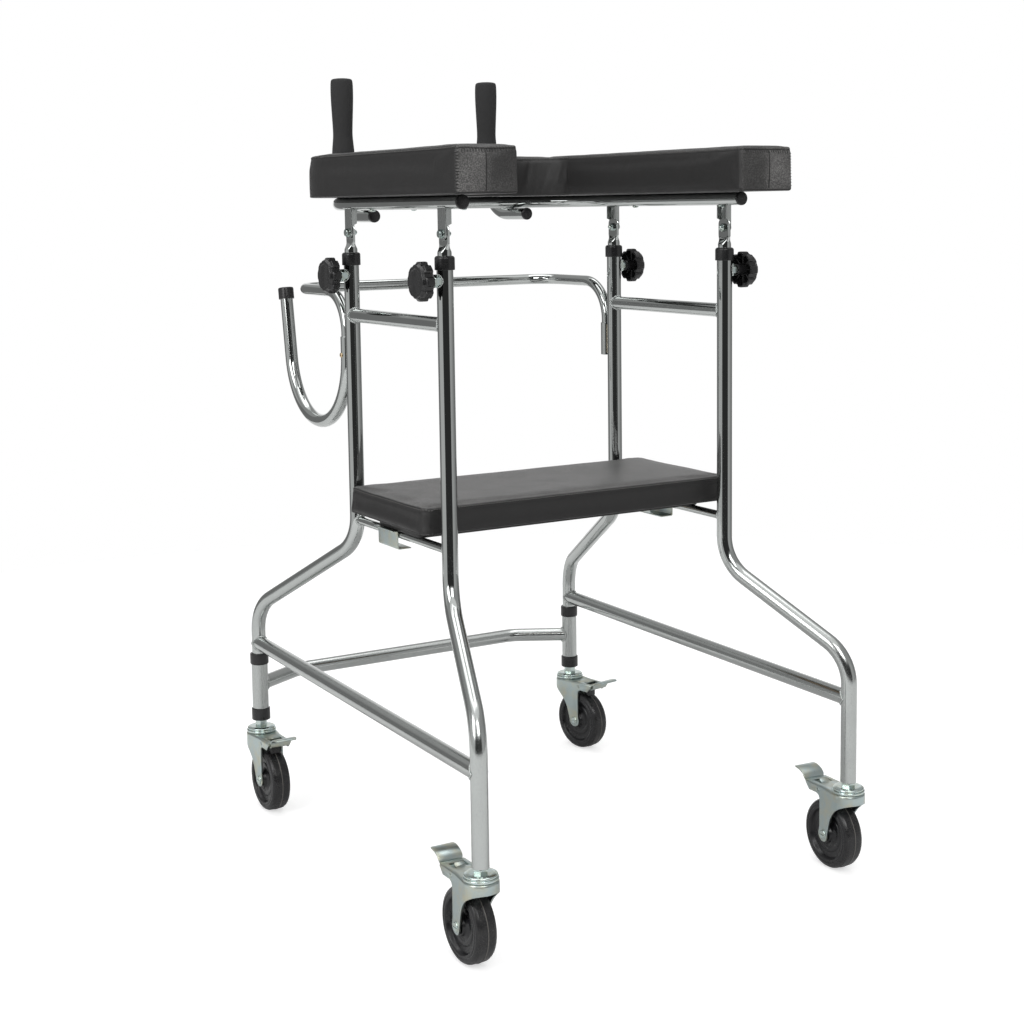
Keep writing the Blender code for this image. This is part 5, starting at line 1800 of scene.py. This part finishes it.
def build_seat():
    s = settings("walker_padding")
    low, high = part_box("seat_cushion")
    # The seat's top gets painted sheen, lighter where it faces up, in place of the lights' reflection at a
    # grazing angle.
    upholster("seat_padding", seat_outline, low.z, high.z, s.seat_swell, 0.0, "seat_cushion", "frame",
              lambda spot, normal: 0.6 * smoothed(normal.z * 4 - 3))
    board_low, board_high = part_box("seat_board")
    board = prism(board_outline(0), board_low.z, board_high.z)
    place("board", bevelled(board, 0.0012, 3), "wood", "frame", "seat_board")
    hem_low = board_low.z - 0.0002
    hem = cut(
        rims_rounded(prism(board_outline(-0.0005), hem_low, board_high.z), 0.0014, [hem_low]),
        prism(board_outline(0), board_low.z + 0.0001, board_high.z + 0.01),
        prism(board_outline(HEM), board_low.z - 0.01, board_high.z),
    )
    place("seat_hem", hem, "vinyl", "frame")
    heads = []
    for side_name, side in LEFT_RIGHT:
        clip_low, clip_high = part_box(f"seat_clip_{side_name}")
        place(f"clip_{side_name}", clip_mesh(side, clip_low, clip_high), "zinc", "frame",
              f"seat_clip_{side_name}")
        flange_x = clip_high.x if side > 0 else clip_low.x
        for y in (clip_low.y + 0.010, clip_high.y - 0.010):
            heads.append((Vector((flange_x - side * 0.0042, y, clip_high.z - CLIP_SHEET)), (0, 0, -1)))
    set_at("clip_screws", heads, pan_head(0.0030, 0.0018), "bright_zinc", "frame")


def clip_mesh(side, low, high):
    """Bent sheet clip that hooks beneath the seat rail."""
    outer_x, inner_x = (high.x, low.x) if side > 0 else (low.x, high.x)
    half = CLIP_SHEET / 2
    web = outer_x - side * (CLIP_FLANGE - half)
    corners = [(outer_x, high.z - half), (web, high.z - half), (web, low.z + half), (inner_x, low.z + half)]
    line = filleted(corners, 0.0024, 5)
    return bevelled(prism(thickened(line, CLIP_SHEET), low.y, high.y, "Y"), 0.0003)


def thickened(line, thickness):
    """Closed outline of a bent line of sheet."""
    outside, inside = [], []
    for index, point in enumerate(line):
        before, after = line[max(index - 1, 0)], line[min(index + 1, len(line) - 1)]
        along = (after - before).normalized()
        across = Vector((-along.y, along.x)) * thickness / 2
        outside.append(point + across)
        inside.append(point - across)
    return [*outside, *reversed(inside)]


# Casters, each about its own swivel axis with the wheel trailing along +Y


def caster_pose(name):
    """Where a caster stands and which way it trails."""
    spot = foot(name)
    trail = joint_place(f"wheel_spin_{name}") - spot
    return Matrix.Translation(spot) @ Matrix.Rotation(math.atan2(-trail.x, trail.y), 4, "Z")


def mount_mesh(s, nut_top):
    """Plug in the leg, hexagon, the two race rings and the kingpin."""
    corner, radius = corner_reach(s.nut_across_flats), s.race_radius
    race_top, step = RACE_BOTTOM + RACE, RACE_BOTTOM + RACE * 0.46
    profile = [(0, race_top - 0.001), (corner, race_top - 0.001), (corner, nut_top - 0.0009),
               (corner - 0.0013, nut_top), (0, nut_top)]
    nut = lathe(filleted(profile, 0.0003, 2), ROUND, hexagon(s.nut_across_flats))
    plug = drum(PLUG_R, nut_top - 0.001, nut_top + PLUG, 0.001, 2, ROUND)
    profile = [(0, step), (radius - 0.0012, step), (radius - 0.0012, race_top - 0.0014),
               (radius - 0.0062, race_top), (0, race_top)]
    upper = lathe(filleted(profile, 0.0016, 5))
    profile = [(0, RACE_BOTTOM), (radius, RACE_BOTTOM), (radius, step - 0.0005),
               (radius - 0.0030, step + 0.0004), (0, step + 0.0004)]
    lower = lathe(filleted(profile, 0.0011, 5))
    under = PLATE_TOP - s.sheet - 0.0005
    pin = drum(KINGPIN_R, under - 0.0012, RACE_BOTTOM + 0.001)
    rivet = drum(0.0098, under - 0.003, under, 0.0013, 4)
    return together(nut, plug, upper, lower, pin, rivet)


def crown_outline(s, inset, rear):
    """Plan of the fork: round in front of the kingpin, straight behind it."""
    half = s.half_width - inset
    front = arc((0, 0), s.crown_radius - inset, 12, -192, 40)
    return [(half, rear), (half, TRAIL), *front, (-half, TRAIL), (-half, rear)]


def fork_side(s):
    """Side view of the fork's sheet: crown skirt, wheel arch, leg, boss and tail."""
    tail_low = PLATE_TOP - FLANGE_DEPTH
    leg_rear = TRAIL + FORK_LEG
    crown = s.crown_radius
    outline = [(-2 * crown, PLATE_TOP + 0.01), (-2 * crown, PLATE_TOP - CROWN_SKIRT),
               (-crown, PLATE_TOP - CROWN_SKIRT)]
    outline += arc(ARCH_CENTRE, ARCH_R, 74, 12, 16)
    outline += arc((TRAIL, s.wheel_radius), FORK_BOSS_R, 175, 380, 24)
    outline += [(leg_rear, s.wheel_radius + FORK_BOSS_R)]
    outline += arc((leg_rear + FORK_LEG, tail_low - FORK_LEG), FORK_LEG, 180, 90, 10)
    outline += [(FORK_REAR - 0.0085, tail_low), (FORK_REAR, PLATE_TOP - 0.0035),
                (FORK_REAR, PLATE_TOP + 0.01)]
    return outline


def fork_mesh(s):
    """Pressed sheet fork with a rounded crown and a lanced window."""
    wide, edge = 2 * s.crown_radius, s.crown_edge
    shell = rims_rounded(prism(crown_outline(s, 0, FORK_REAR + 0.01), 0, PLATE_TOP), edge, [PLATE_TOP], 5)
    hollow_top = PLATE_TOP - s.sheet
    hollow = rims_rounded(prism(crown_outline(s, s.sheet, FORK_REAR * 2), -0.01, hollow_top),
                          edge - s.sheet, [hollow_top], 3)
    mesh = combined(cut(shell, hollow), prism(fork_side(s), -wide, wide, "X"), "INTERSECT")
    hole = drum(KINGPIN_R + 0.0007, hollow_top - 0.01, PLATE_TOP + 0.01)
    pin = drum(PEDAL_PIN_R + 0.0003, -wide, wide)
    pin = moved(pin, Matrix.Translation((0, PEDAL_PIN_Y, PEDAL_PIN_Z)) @ ALONG_X)
    window = prism(filleted([(-WINDOW_HALF, WINDOW_Y[0]), (WINDOW_HALF, WINDOW_Y[0]),
                             (WINDOW_HALF, WINDOW_Y[1]), (-WINDOW_HALF, WINDOW_Y[1])], 0.0015, 3, True),
                   hollow_top - 0.001, PLATE_TOP + 0.01)
    mesh = bevelled(cut(mesh, hole, pin, window), 0.00035)
    sheet_middle = PLATE_TOP - s.sheet / 2
    tongue = smooth_line([
        (WINDOW_Y[0] + y, sheet_middle + z, half) for y, z, half in
        ((-0.001, 0, 0.0078), (0.0028, 0.0004, 0.0076), (0.0062, 0.0020, 0.0073), (0.0090, 0.0036, 0.0064))
    ], 4)
    return together(mesh, bevelled(strip(tongue, s.sheet * 0.7), 0.0003))


def strip(points, thickness):
    """Bent sheet across X, from (y, z, half width) along its middle."""
    bm, rings = bmesh.new(), []
    for index, (y, z, half) in enumerate(points):
        before = points[max(index - 1, 0)]
        after = points[min(index + 1, len(points) - 1)]
        along = Vector((after[0] - before[0], after[1] - before[1])).normalized()
        up = Vector((-along.y, along.x)) * thickness / 2
        corners = ((-half, -1), (half, -1), (half, 1), (-half, 1))
        rings.append([bm.verts.new((x, y + up.x * way, z + up.y * way)) for x, way in corners])
    filled_skin(bm, rings)
    return to_mesh(bm)


def axle_mesh(s):
    """Riveted axle with a slotted head on each side, about X."""
    out = s.half_width
    profile = [(0, out - 0.0012), (0.0066, out - 0.0012), (0.0064, out + 0.0014),
               (0.0052, out + 0.0022), (0, out + 0.0024)]
    slot = box((-0.0006, -0.01, out + 0.0012), (0.0006, 0.01, out + 0.01))
    head = bevelled(cut(lathe(filleted(profile, 0.0005), SMALL_ROUND), slot), 0.0001, 1)
    both = together(drum(AXLE_R, -out, out), head, moved(head, Matrix.Rotation(math.pi, 4, "X")))
    return moved(both, ALONG_X)


def build_casters():
    s = settings("walker_casters")
    fork, axle = fork_mesh(s), axle_mesh(s)
    for name, side, end in CORNERS:
        side_name = "left" if side < 0 else "right"
        resting = f"foot_collar_{side_name}" if end > 0 else f"leg_{name}"
        leg_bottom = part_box(resting)[0].z
        pose = caster_pose(name)
        mount = mount_mesh(s, leg_bottom - GAP)
        place(f"mount_{name}", moved(mount, pose), "bright_zinc", "frame", f"caster_mount_{name}",
              sharp=FACET_ANGLE)
        place(f"fork_{name}", moved(fork, pose), "zinc", f"swivel_{name}", f"caster_fork_{name}")
        centre = pose @ Matrix.Translation((0, TRAIL, s.wheel_radius))
        place(f"axle_{name}", moved(axle, centre), "bright_zinc", f"swivel_{name}")


def wheel_mesh(s):
    """Wheel about X with a hub, a dished side with rings, and a ridged tread."""
    r, w = s.wheel_radius, s.wheel_half_width
    side = [
        (0.0046, 0.0158), (0.0118, 0.0158), (0.0132, 0.0120), (0.0190, 0.0093), (0.0205, 0.0101),
        (0.0255, 0.0101), (0.0268, 0.0090), (0.0345, 0.0092), (0.0362, 0.0138), (0.0376, w),
        (0.0402, w), (0.0409, w - 0.0007), (0.0416, w), (0.0438, w - 0.0001), (r - 0.0028, w - 0.0018),
        (r - 0.0008, w - 0.0054), (r - 0.0005, 0.0040), (r - 0.0004, 0.0009), (r, 0.0004),
    ]
    profile = filleted(side, 0.0006, 2)
    mesh = lathe([*profile, *[(p.x, -p.y) for p in reversed(profile)]], WHEEL_POINTS, None, True)
    for name, mark in (("tread", lambda x, y: smoothed((x - r + 0.0045) / 0.003)),
                       ("ridge", lambda x, y: 1.0 if abs(y) < 0.0006 and x > r - 0.0007 else 0.0)):
        layer = mesh.attributes.new(name, "FLOAT", "POINT")
        layer.data.foreach_set("value", [mark(v.co.xy.length, v.co.z) for v in mesh.vertices])
    return moved(mesh, ALONG_X)


def build_wheels():
    s = settings("walker_casters")
    mesh = wheel_mesh(s)
    for name, _, _ in CORNERS:
        centre = caster_pose(name) @ Matrix.Translation((0, TRAIL, s.wheel_radius))
        place(f"wheel_{name}_rubber", moved(mesh, centre), "wheel", f"wheel_{name}", f"caster_wheel_{name}")


def pedal_mesh(s):
    """Brake lever with its raised, curled tab, about its pin."""
    half = s.half_width - s.sheet - 0.0006
    rear = FORK_REAR - PEDAL_PIN_Y
    line = smooth_line([
        (-0.006, 0, half), (0.010, 0, half), (rear - 0.001, 0, half), (rear + 0.0036, 0.0034, half),
        (rear + 0.0056, 0.0080, TAB_HALF), (rear + 0.0092, 0.0124, TAB_HALF),
        (rear + 0.0150, 0.0155, TAB_HALF), (rear + 0.0220, 0.0172, TAB_HALF),
        (rear + 0.0275, 0.0174, TAB_HALF * 0.96), (rear + 0.0305, 0.0166, TAB_HALF * 0.86),
    ], 5)
    lever = bevelled(strip(line, s.pedal_sheet), 0.0006, 3)
    out, end_r = s.half_width, PEDAL_PIN_R - 0.0008
    pin = lathe([(0, -out), (end_r, -out), (PEDAL_PIN_R, -out + 0.0008), (PEDAL_PIN_R, out - 0.0008),
                 (end_r, out), (0, out)], SMALL_ROUND)
    return together(lever, moved(pin, ALONG_X))


def shoe_mesh(s):
    """Brake shoe under the lever, hollowed to the wheel."""
    reach = s.wheel_radius + SHOE_GAP
    face = [(TRAIL - PEDAL_PIN_Y + reach * math.sin(a), s.wheel_radius - PEDAL_PIN_Z + reach * math.cos(a))
            for a in (math.radians(8 + 2.5 * step) for step in range(9))]
    top = -s.pedal_sheet / 2 + 0.0002
    outline = [(face[-1][0], top), (face[0][0], top), *face]
    return bevelled(prism(outline, -SHOE_HALF, SHOE_HALF, "X"), 0.0006)


def build_pedals():
    s = settings("walker_casters")
    lever, shoe = pedal_mesh(s), shoe_mesh(s)
    for name, _, _ in CORNERS:
        pose = caster_pose(name) @ Matrix.Translation((0, PEDAL_PIN_Y, PEDAL_PIN_Z))
        place(f"pedal_{name}_lever", moved(lever, pose), "zinc", f"pedal_{name}", f"caster_pedal_{name}")
        place(f"pedal_{name}_shoe", moved(shoe, pose), "plastic", f"pedal_{name}")


# Stage


def softbox(name, spot, target, size, power):
    """Rectangular lamp that points at its target."""
    data = bpy.data.lights.new(name, "AREA")
    data.shape = "RECTANGLE"
    data.size, data.size_y = size
    data.energy = power
    lamp = linked(name, data)
    lamp.location = spot
    lamp.rotation_euler = (Vector(target) - Vector(spot)).to_track_quat("-Z", "Y").to_euler()


def white_world(strength):
    """Even light that is itself seen as white."""
    world = bpy.data.worlds.new("studio")
    world.use_nodes = True
    net = Net(world.node_tree)
    net.tree.nodes.clear()
    mix = net.tree.nodes.new("ShaderNodeMixShader")
    net.put(mix.inputs[0], net.seen().math("MAXIMUM", net.mirrored()))
    for index, level in ((1, strength), (2, 1.0)):
        made = net.tree.nodes.new("ShaderNodeBackground")
        made.inputs["Color"].default_value = (1, 1, 1, 1)
        made.inputs["Strength"].default_value = level
        net.tree.links.new(made.outputs[0], mix.inputs[index])
    out = net.tree.nodes.new("ShaderNodeOutputWorld")
    net.tree.links.new(mix.outputs[0], out.inputs["Surface"])
    bpy.context.scene.world = world


def floor_finish(base):
    """Pale floor that keeps the shadow and is otherwise as white as the backdrop."""
    made = Finish("floor")
    soft = made.noise(0.6, 2.0)
    outside = made.vector("LENGTH", made.place, out="Value").within(*SHADOW_EDGE)
    whitened = made.seen().math("MAXIMUM", made.mirrored() * 0.45 * outside)
    made.shader.inputs["Specular IOR Level"].default_value = 0.0
    return made.finish(
        base_color=made.tint(soft, shade(base, 0.995), tuple(base)), roughness=0.9,
        emission_color=made.tint(whitened, BLACK, WHITE), emission_strength=0.60,
    )


def studio_finish():
    """What mirrors see round the room: a dark room behind the camera, between two bright screens."""
    made = Finish("studio")
    ahead, left = (
        made.vector("DOT_PRODUCT", made.place, way, out="Value")
        for way in (DARK_WAY, Vector((DARK_WAY.y, -DARK_WAY.x, 0)))
    )
    turn = left.math("ARCTAN2", ahead) * math.degrees(1)
    level = DARK_LEVEL
    for low, high, change in SCREEN_EDGES:
        level = turn.within(low, high) * change + level
    ceiling = made.height().within(*CEILING_Z)
    across = made.vector("LENGTH", made.stretched((1, 1, 0)), out="Value")
    above = CEILING_LEVEL + across.within(*CEILING_MIDDLE) * CEILING_MIDDLE_LEVEL
    made.shader.inputs["Specular IOR Level"].default_value = 0.0
    return made.finish(
        base_color=BLACK, roughness=1.0, emission_strength=1.0,
        emission_color=made.tint(level * (1 - ceiling) + ceiling * above, BLACK, WHITE),
    )


def studio_wall():
    """Screen all round and above, which only mirrors see."""
    bm = bmesh.new()
    bmesh.ops.create_cone(
        bm, cap_ends=True, segments=STAGE_POINTS, radius1=ROOM_R, radius2=ROOM_R, depth=ROOM_HEIGHT
    )
    wall = linked("studio_wall", to_mesh(bm))
    wall.data.materials.append(studio_finish())
    wall.visible_camera = wall.visible_diffuse = wall.visible_shadow = wall.visible_transmission = False


def build_stage():
    s = settings("walker_stage")
    floor = linked("floor", prism(arc((0, 0), FLOOR_R, 0, 360, STAGE_POINTS)[:-1], *FLOOR_Z))
    floor.data.materials.append(floor_finish(s.floor))
    white_world(s.world)
    studio_wall()
    bpy.context.scene.view_settings.view_transform = "Standard"
    softbox("key", *KEY_LAMP, s.key)
    softbox("fill", *FILL_LAMP, s.fill)
    softbox("overhead", *TOP_LAMP, s.top)


def place_camera():
    """The photograph's view."""
    data = bpy.data.cameras.new("camera")
    data.sensor_width, data.lens, data.shift_y = CAMERA_SENSOR, CAMERA_LENS, CAMERA_SHIFT
    pose = Matrix.Translation(CAMERA_PLACE)
    for angle, axis in ((CAMERA_TURN, "Z"), (90 - CAMERA_DOWN, "X"), (CAMERA_ROLL, "Z")):
        pose = pose @ Matrix.Rotation(math.radians(angle), 4, axis)
    camera = linked("camera", data)
    camera.matrix_world = pose
    bpy.context.scene.camera = camera


# Operators and panel


class LegsOperator(bpy.types.Operator):
    """Builds the bent legs with their weld nuts and the socket"""

    bl_idname = "walker.legs"
    bl_label = "Legs"

    def execute(self, context):
        build_legs()
        return {"FINISHED"}


class SideRailsOperator(bpy.types.Operator):
    """Builds the rails between the legs of each side, with their welds"""

    bl_idname = "walker.side_rails"
    bl_label = "Side rails"

    def execute(self, context):
        build_side_rails()
        return {"FINISHED"}


class CollarsOperator(bpy.types.Operator):
    """Builds the plastic collars on the uprights and round the front legs"""

    bl_idname = "walker.collars"
    bl_label = "Collars"

    def execute(self, context):
        build_collars()
        return {"FINISHED"}


class FrontBarsOperator(bpy.types.Operator):
    """Builds the lower front bar with its sleeves and welds"""

    bl_idname = "walker.front_bars"
    bl_label = "Lower front bar"

    def execute(self, context):
        build_front_bars()
        return {"FINISHED"}


class HoopOperator(bpy.types.Operator):
    """Builds the hoop in front of the uprights"""

    bl_idname = "walker.hoop"
    bl_label = "Upper front bar"

    def execute(self, context):
        build_hoop()
        return {"FINISHED"}


class HookOperator(bpy.types.Operator):
    """Builds the side hook with its cap, welds and screws"""

    bl_idname = "walker.hook"
    bl_label = "Side hook"

    def execute(self, context):
        build_hook()
        return {"FINISHED"}


class StemsOperator(bpy.types.Operator):
    """Builds the sliding stems with their bolts and nuts"""

    bl_idname = "walker.stems"
    bl_label = "Stems"

    def execute(self, context):
        build_stems()
        return {"FINISHED"}


class ArmTubeOperator(bpy.types.Operator):
    """Builds the tube below the forearm pad with its brackets, welds and screws"""

    bl_idname = "walker.arm_tube"
    bl_label = "Arm tube"

    def execute(self, context):
        build_arm_tube()
        return {"FINISHED"}


class HandlesOperator(bpy.types.Operator):
    """Builds the handle tubes and the plugs in the tube ends"""

    bl_idname = "walker.handles"
    bl_label = "Handles"

    def execute(self, context):
        build_handles()
        return {"FINISHED"}


class GripsOperator(bpy.types.Operator):
    """Builds the foam hand grips"""

    bl_idname = "walker.grips"
    bl_label = "Grips"

    def execute(self, context):
        build_grips()
        return {"FINISHED"}


class KnobsOperator(bpy.types.Operator):
    """Builds the lobed knobs with their studs"""

    bl_idname = "walker.knobs"
    bl_label = "Knobs"

    def execute(self, context):
        build_knobs()
        return {"FINISHED"}


class ForearmPadOperator(bpy.types.Operator):
    """Builds the padded forearm rest with its seams"""

    bl_idname = "walker.forearm_pad"
    bl_label = "Forearm pad"

    def execute(self, context):
        build_forearm_pad()
        return {"FINISHED"}


class SeatOperator(bpy.types.Operator):
    """Builds the padded seat, its board, hem and clips"""

    bl_idname = "walker.seat"
    bl_label = "Seat"

    def execute(self, context):
        build_seat()
        return {"FINISHED"}


class CastersOperator(bpy.types.Operator):
    """Builds the caster mounts, forks and axles"""

    bl_idname = "walker.casters"
    bl_label = "Casters"

    def execute(self, context):
        build_casters()
        return {"FINISHED"}


class WheelsOperator(bpy.types.Operator):
    """Builds the caster wheels"""

    bl_idname = "walker.wheels"
    bl_label = "Wheels"

    def execute(self, context):
        build_wheels()
        return {"FINISHED"}


class PedalsOperator(bpy.types.Operator):
    """Builds the brake pedals with their shoes"""

    bl_idname = "walker.pedals"
    bl_label = "Brake pedals"

    def execute(self, context):
        build_pedals()
        return {"FINISHED"}


class StageOperator(bpy.types.Operator):
    """Builds the floor, the lamps and the camera"""

    bl_idname = "walker.stage"
    bl_label = "Stage"

    def execute(self, context):
        build_stage()
        place_camera()
        return {"FINISHED"}


OPERATORS = (
    LegsOperator,
    SideRailsOperator,
    CollarsOperator,
    FrontBarsOperator,
    HoopOperator,
    HookOperator,
    StemsOperator,
    ArmTubeOperator,
    HandlesOperator,
    GripsOperator,
    KnobsOperator,
    ForearmPadOperator,
    SeatOperator,
    CastersOperator,
    WheelsOperator,
    PedalsOperator,
    StageOperator,
)


class WALKER_PT_panel(bpy.types.Panel):
    """Settings of the walker and a button for each of its pieces"""

    bl_idname = "WALKER_PT_panel"
    bl_label = "Walker"
    bl_space_type = "VIEW_3D"
    bl_region_type = "UI"
    bl_category = "Walker"

    def draw(self, context):
        for name, group in SETTINGS.items():
            column = self.layout.box().column()
            for field in group.__annotations__:
                column.prop(getattr(context.scene, name), field)
        for kind in OPERATORS:
            self.layout.operator(kind.bl_idname)


CLASSES = (*SETTINGS.values(), *OPERATORS, WALKER_PT_panel)


def register():
    for kind in CLASSES:
        bpy.utils.register_class(kind)
    for name, group in SETTINGS.items():
        setattr(bpy.types.Scene, name, PointerProperty(type=group))


def unregister():
    for name in SETTINGS:
        delattr(bpy.types.Scene, name)
    for kind in reversed(CLASSES):
        bpy.utils.unregister_class(kind)


def main():
    register()
    for kind in OPERATORS:
        group, name = kind.bl_idname.split(".")
        getattr(getattr(bpy.ops, group), name)()


if __name__ == "__main__":
    main()
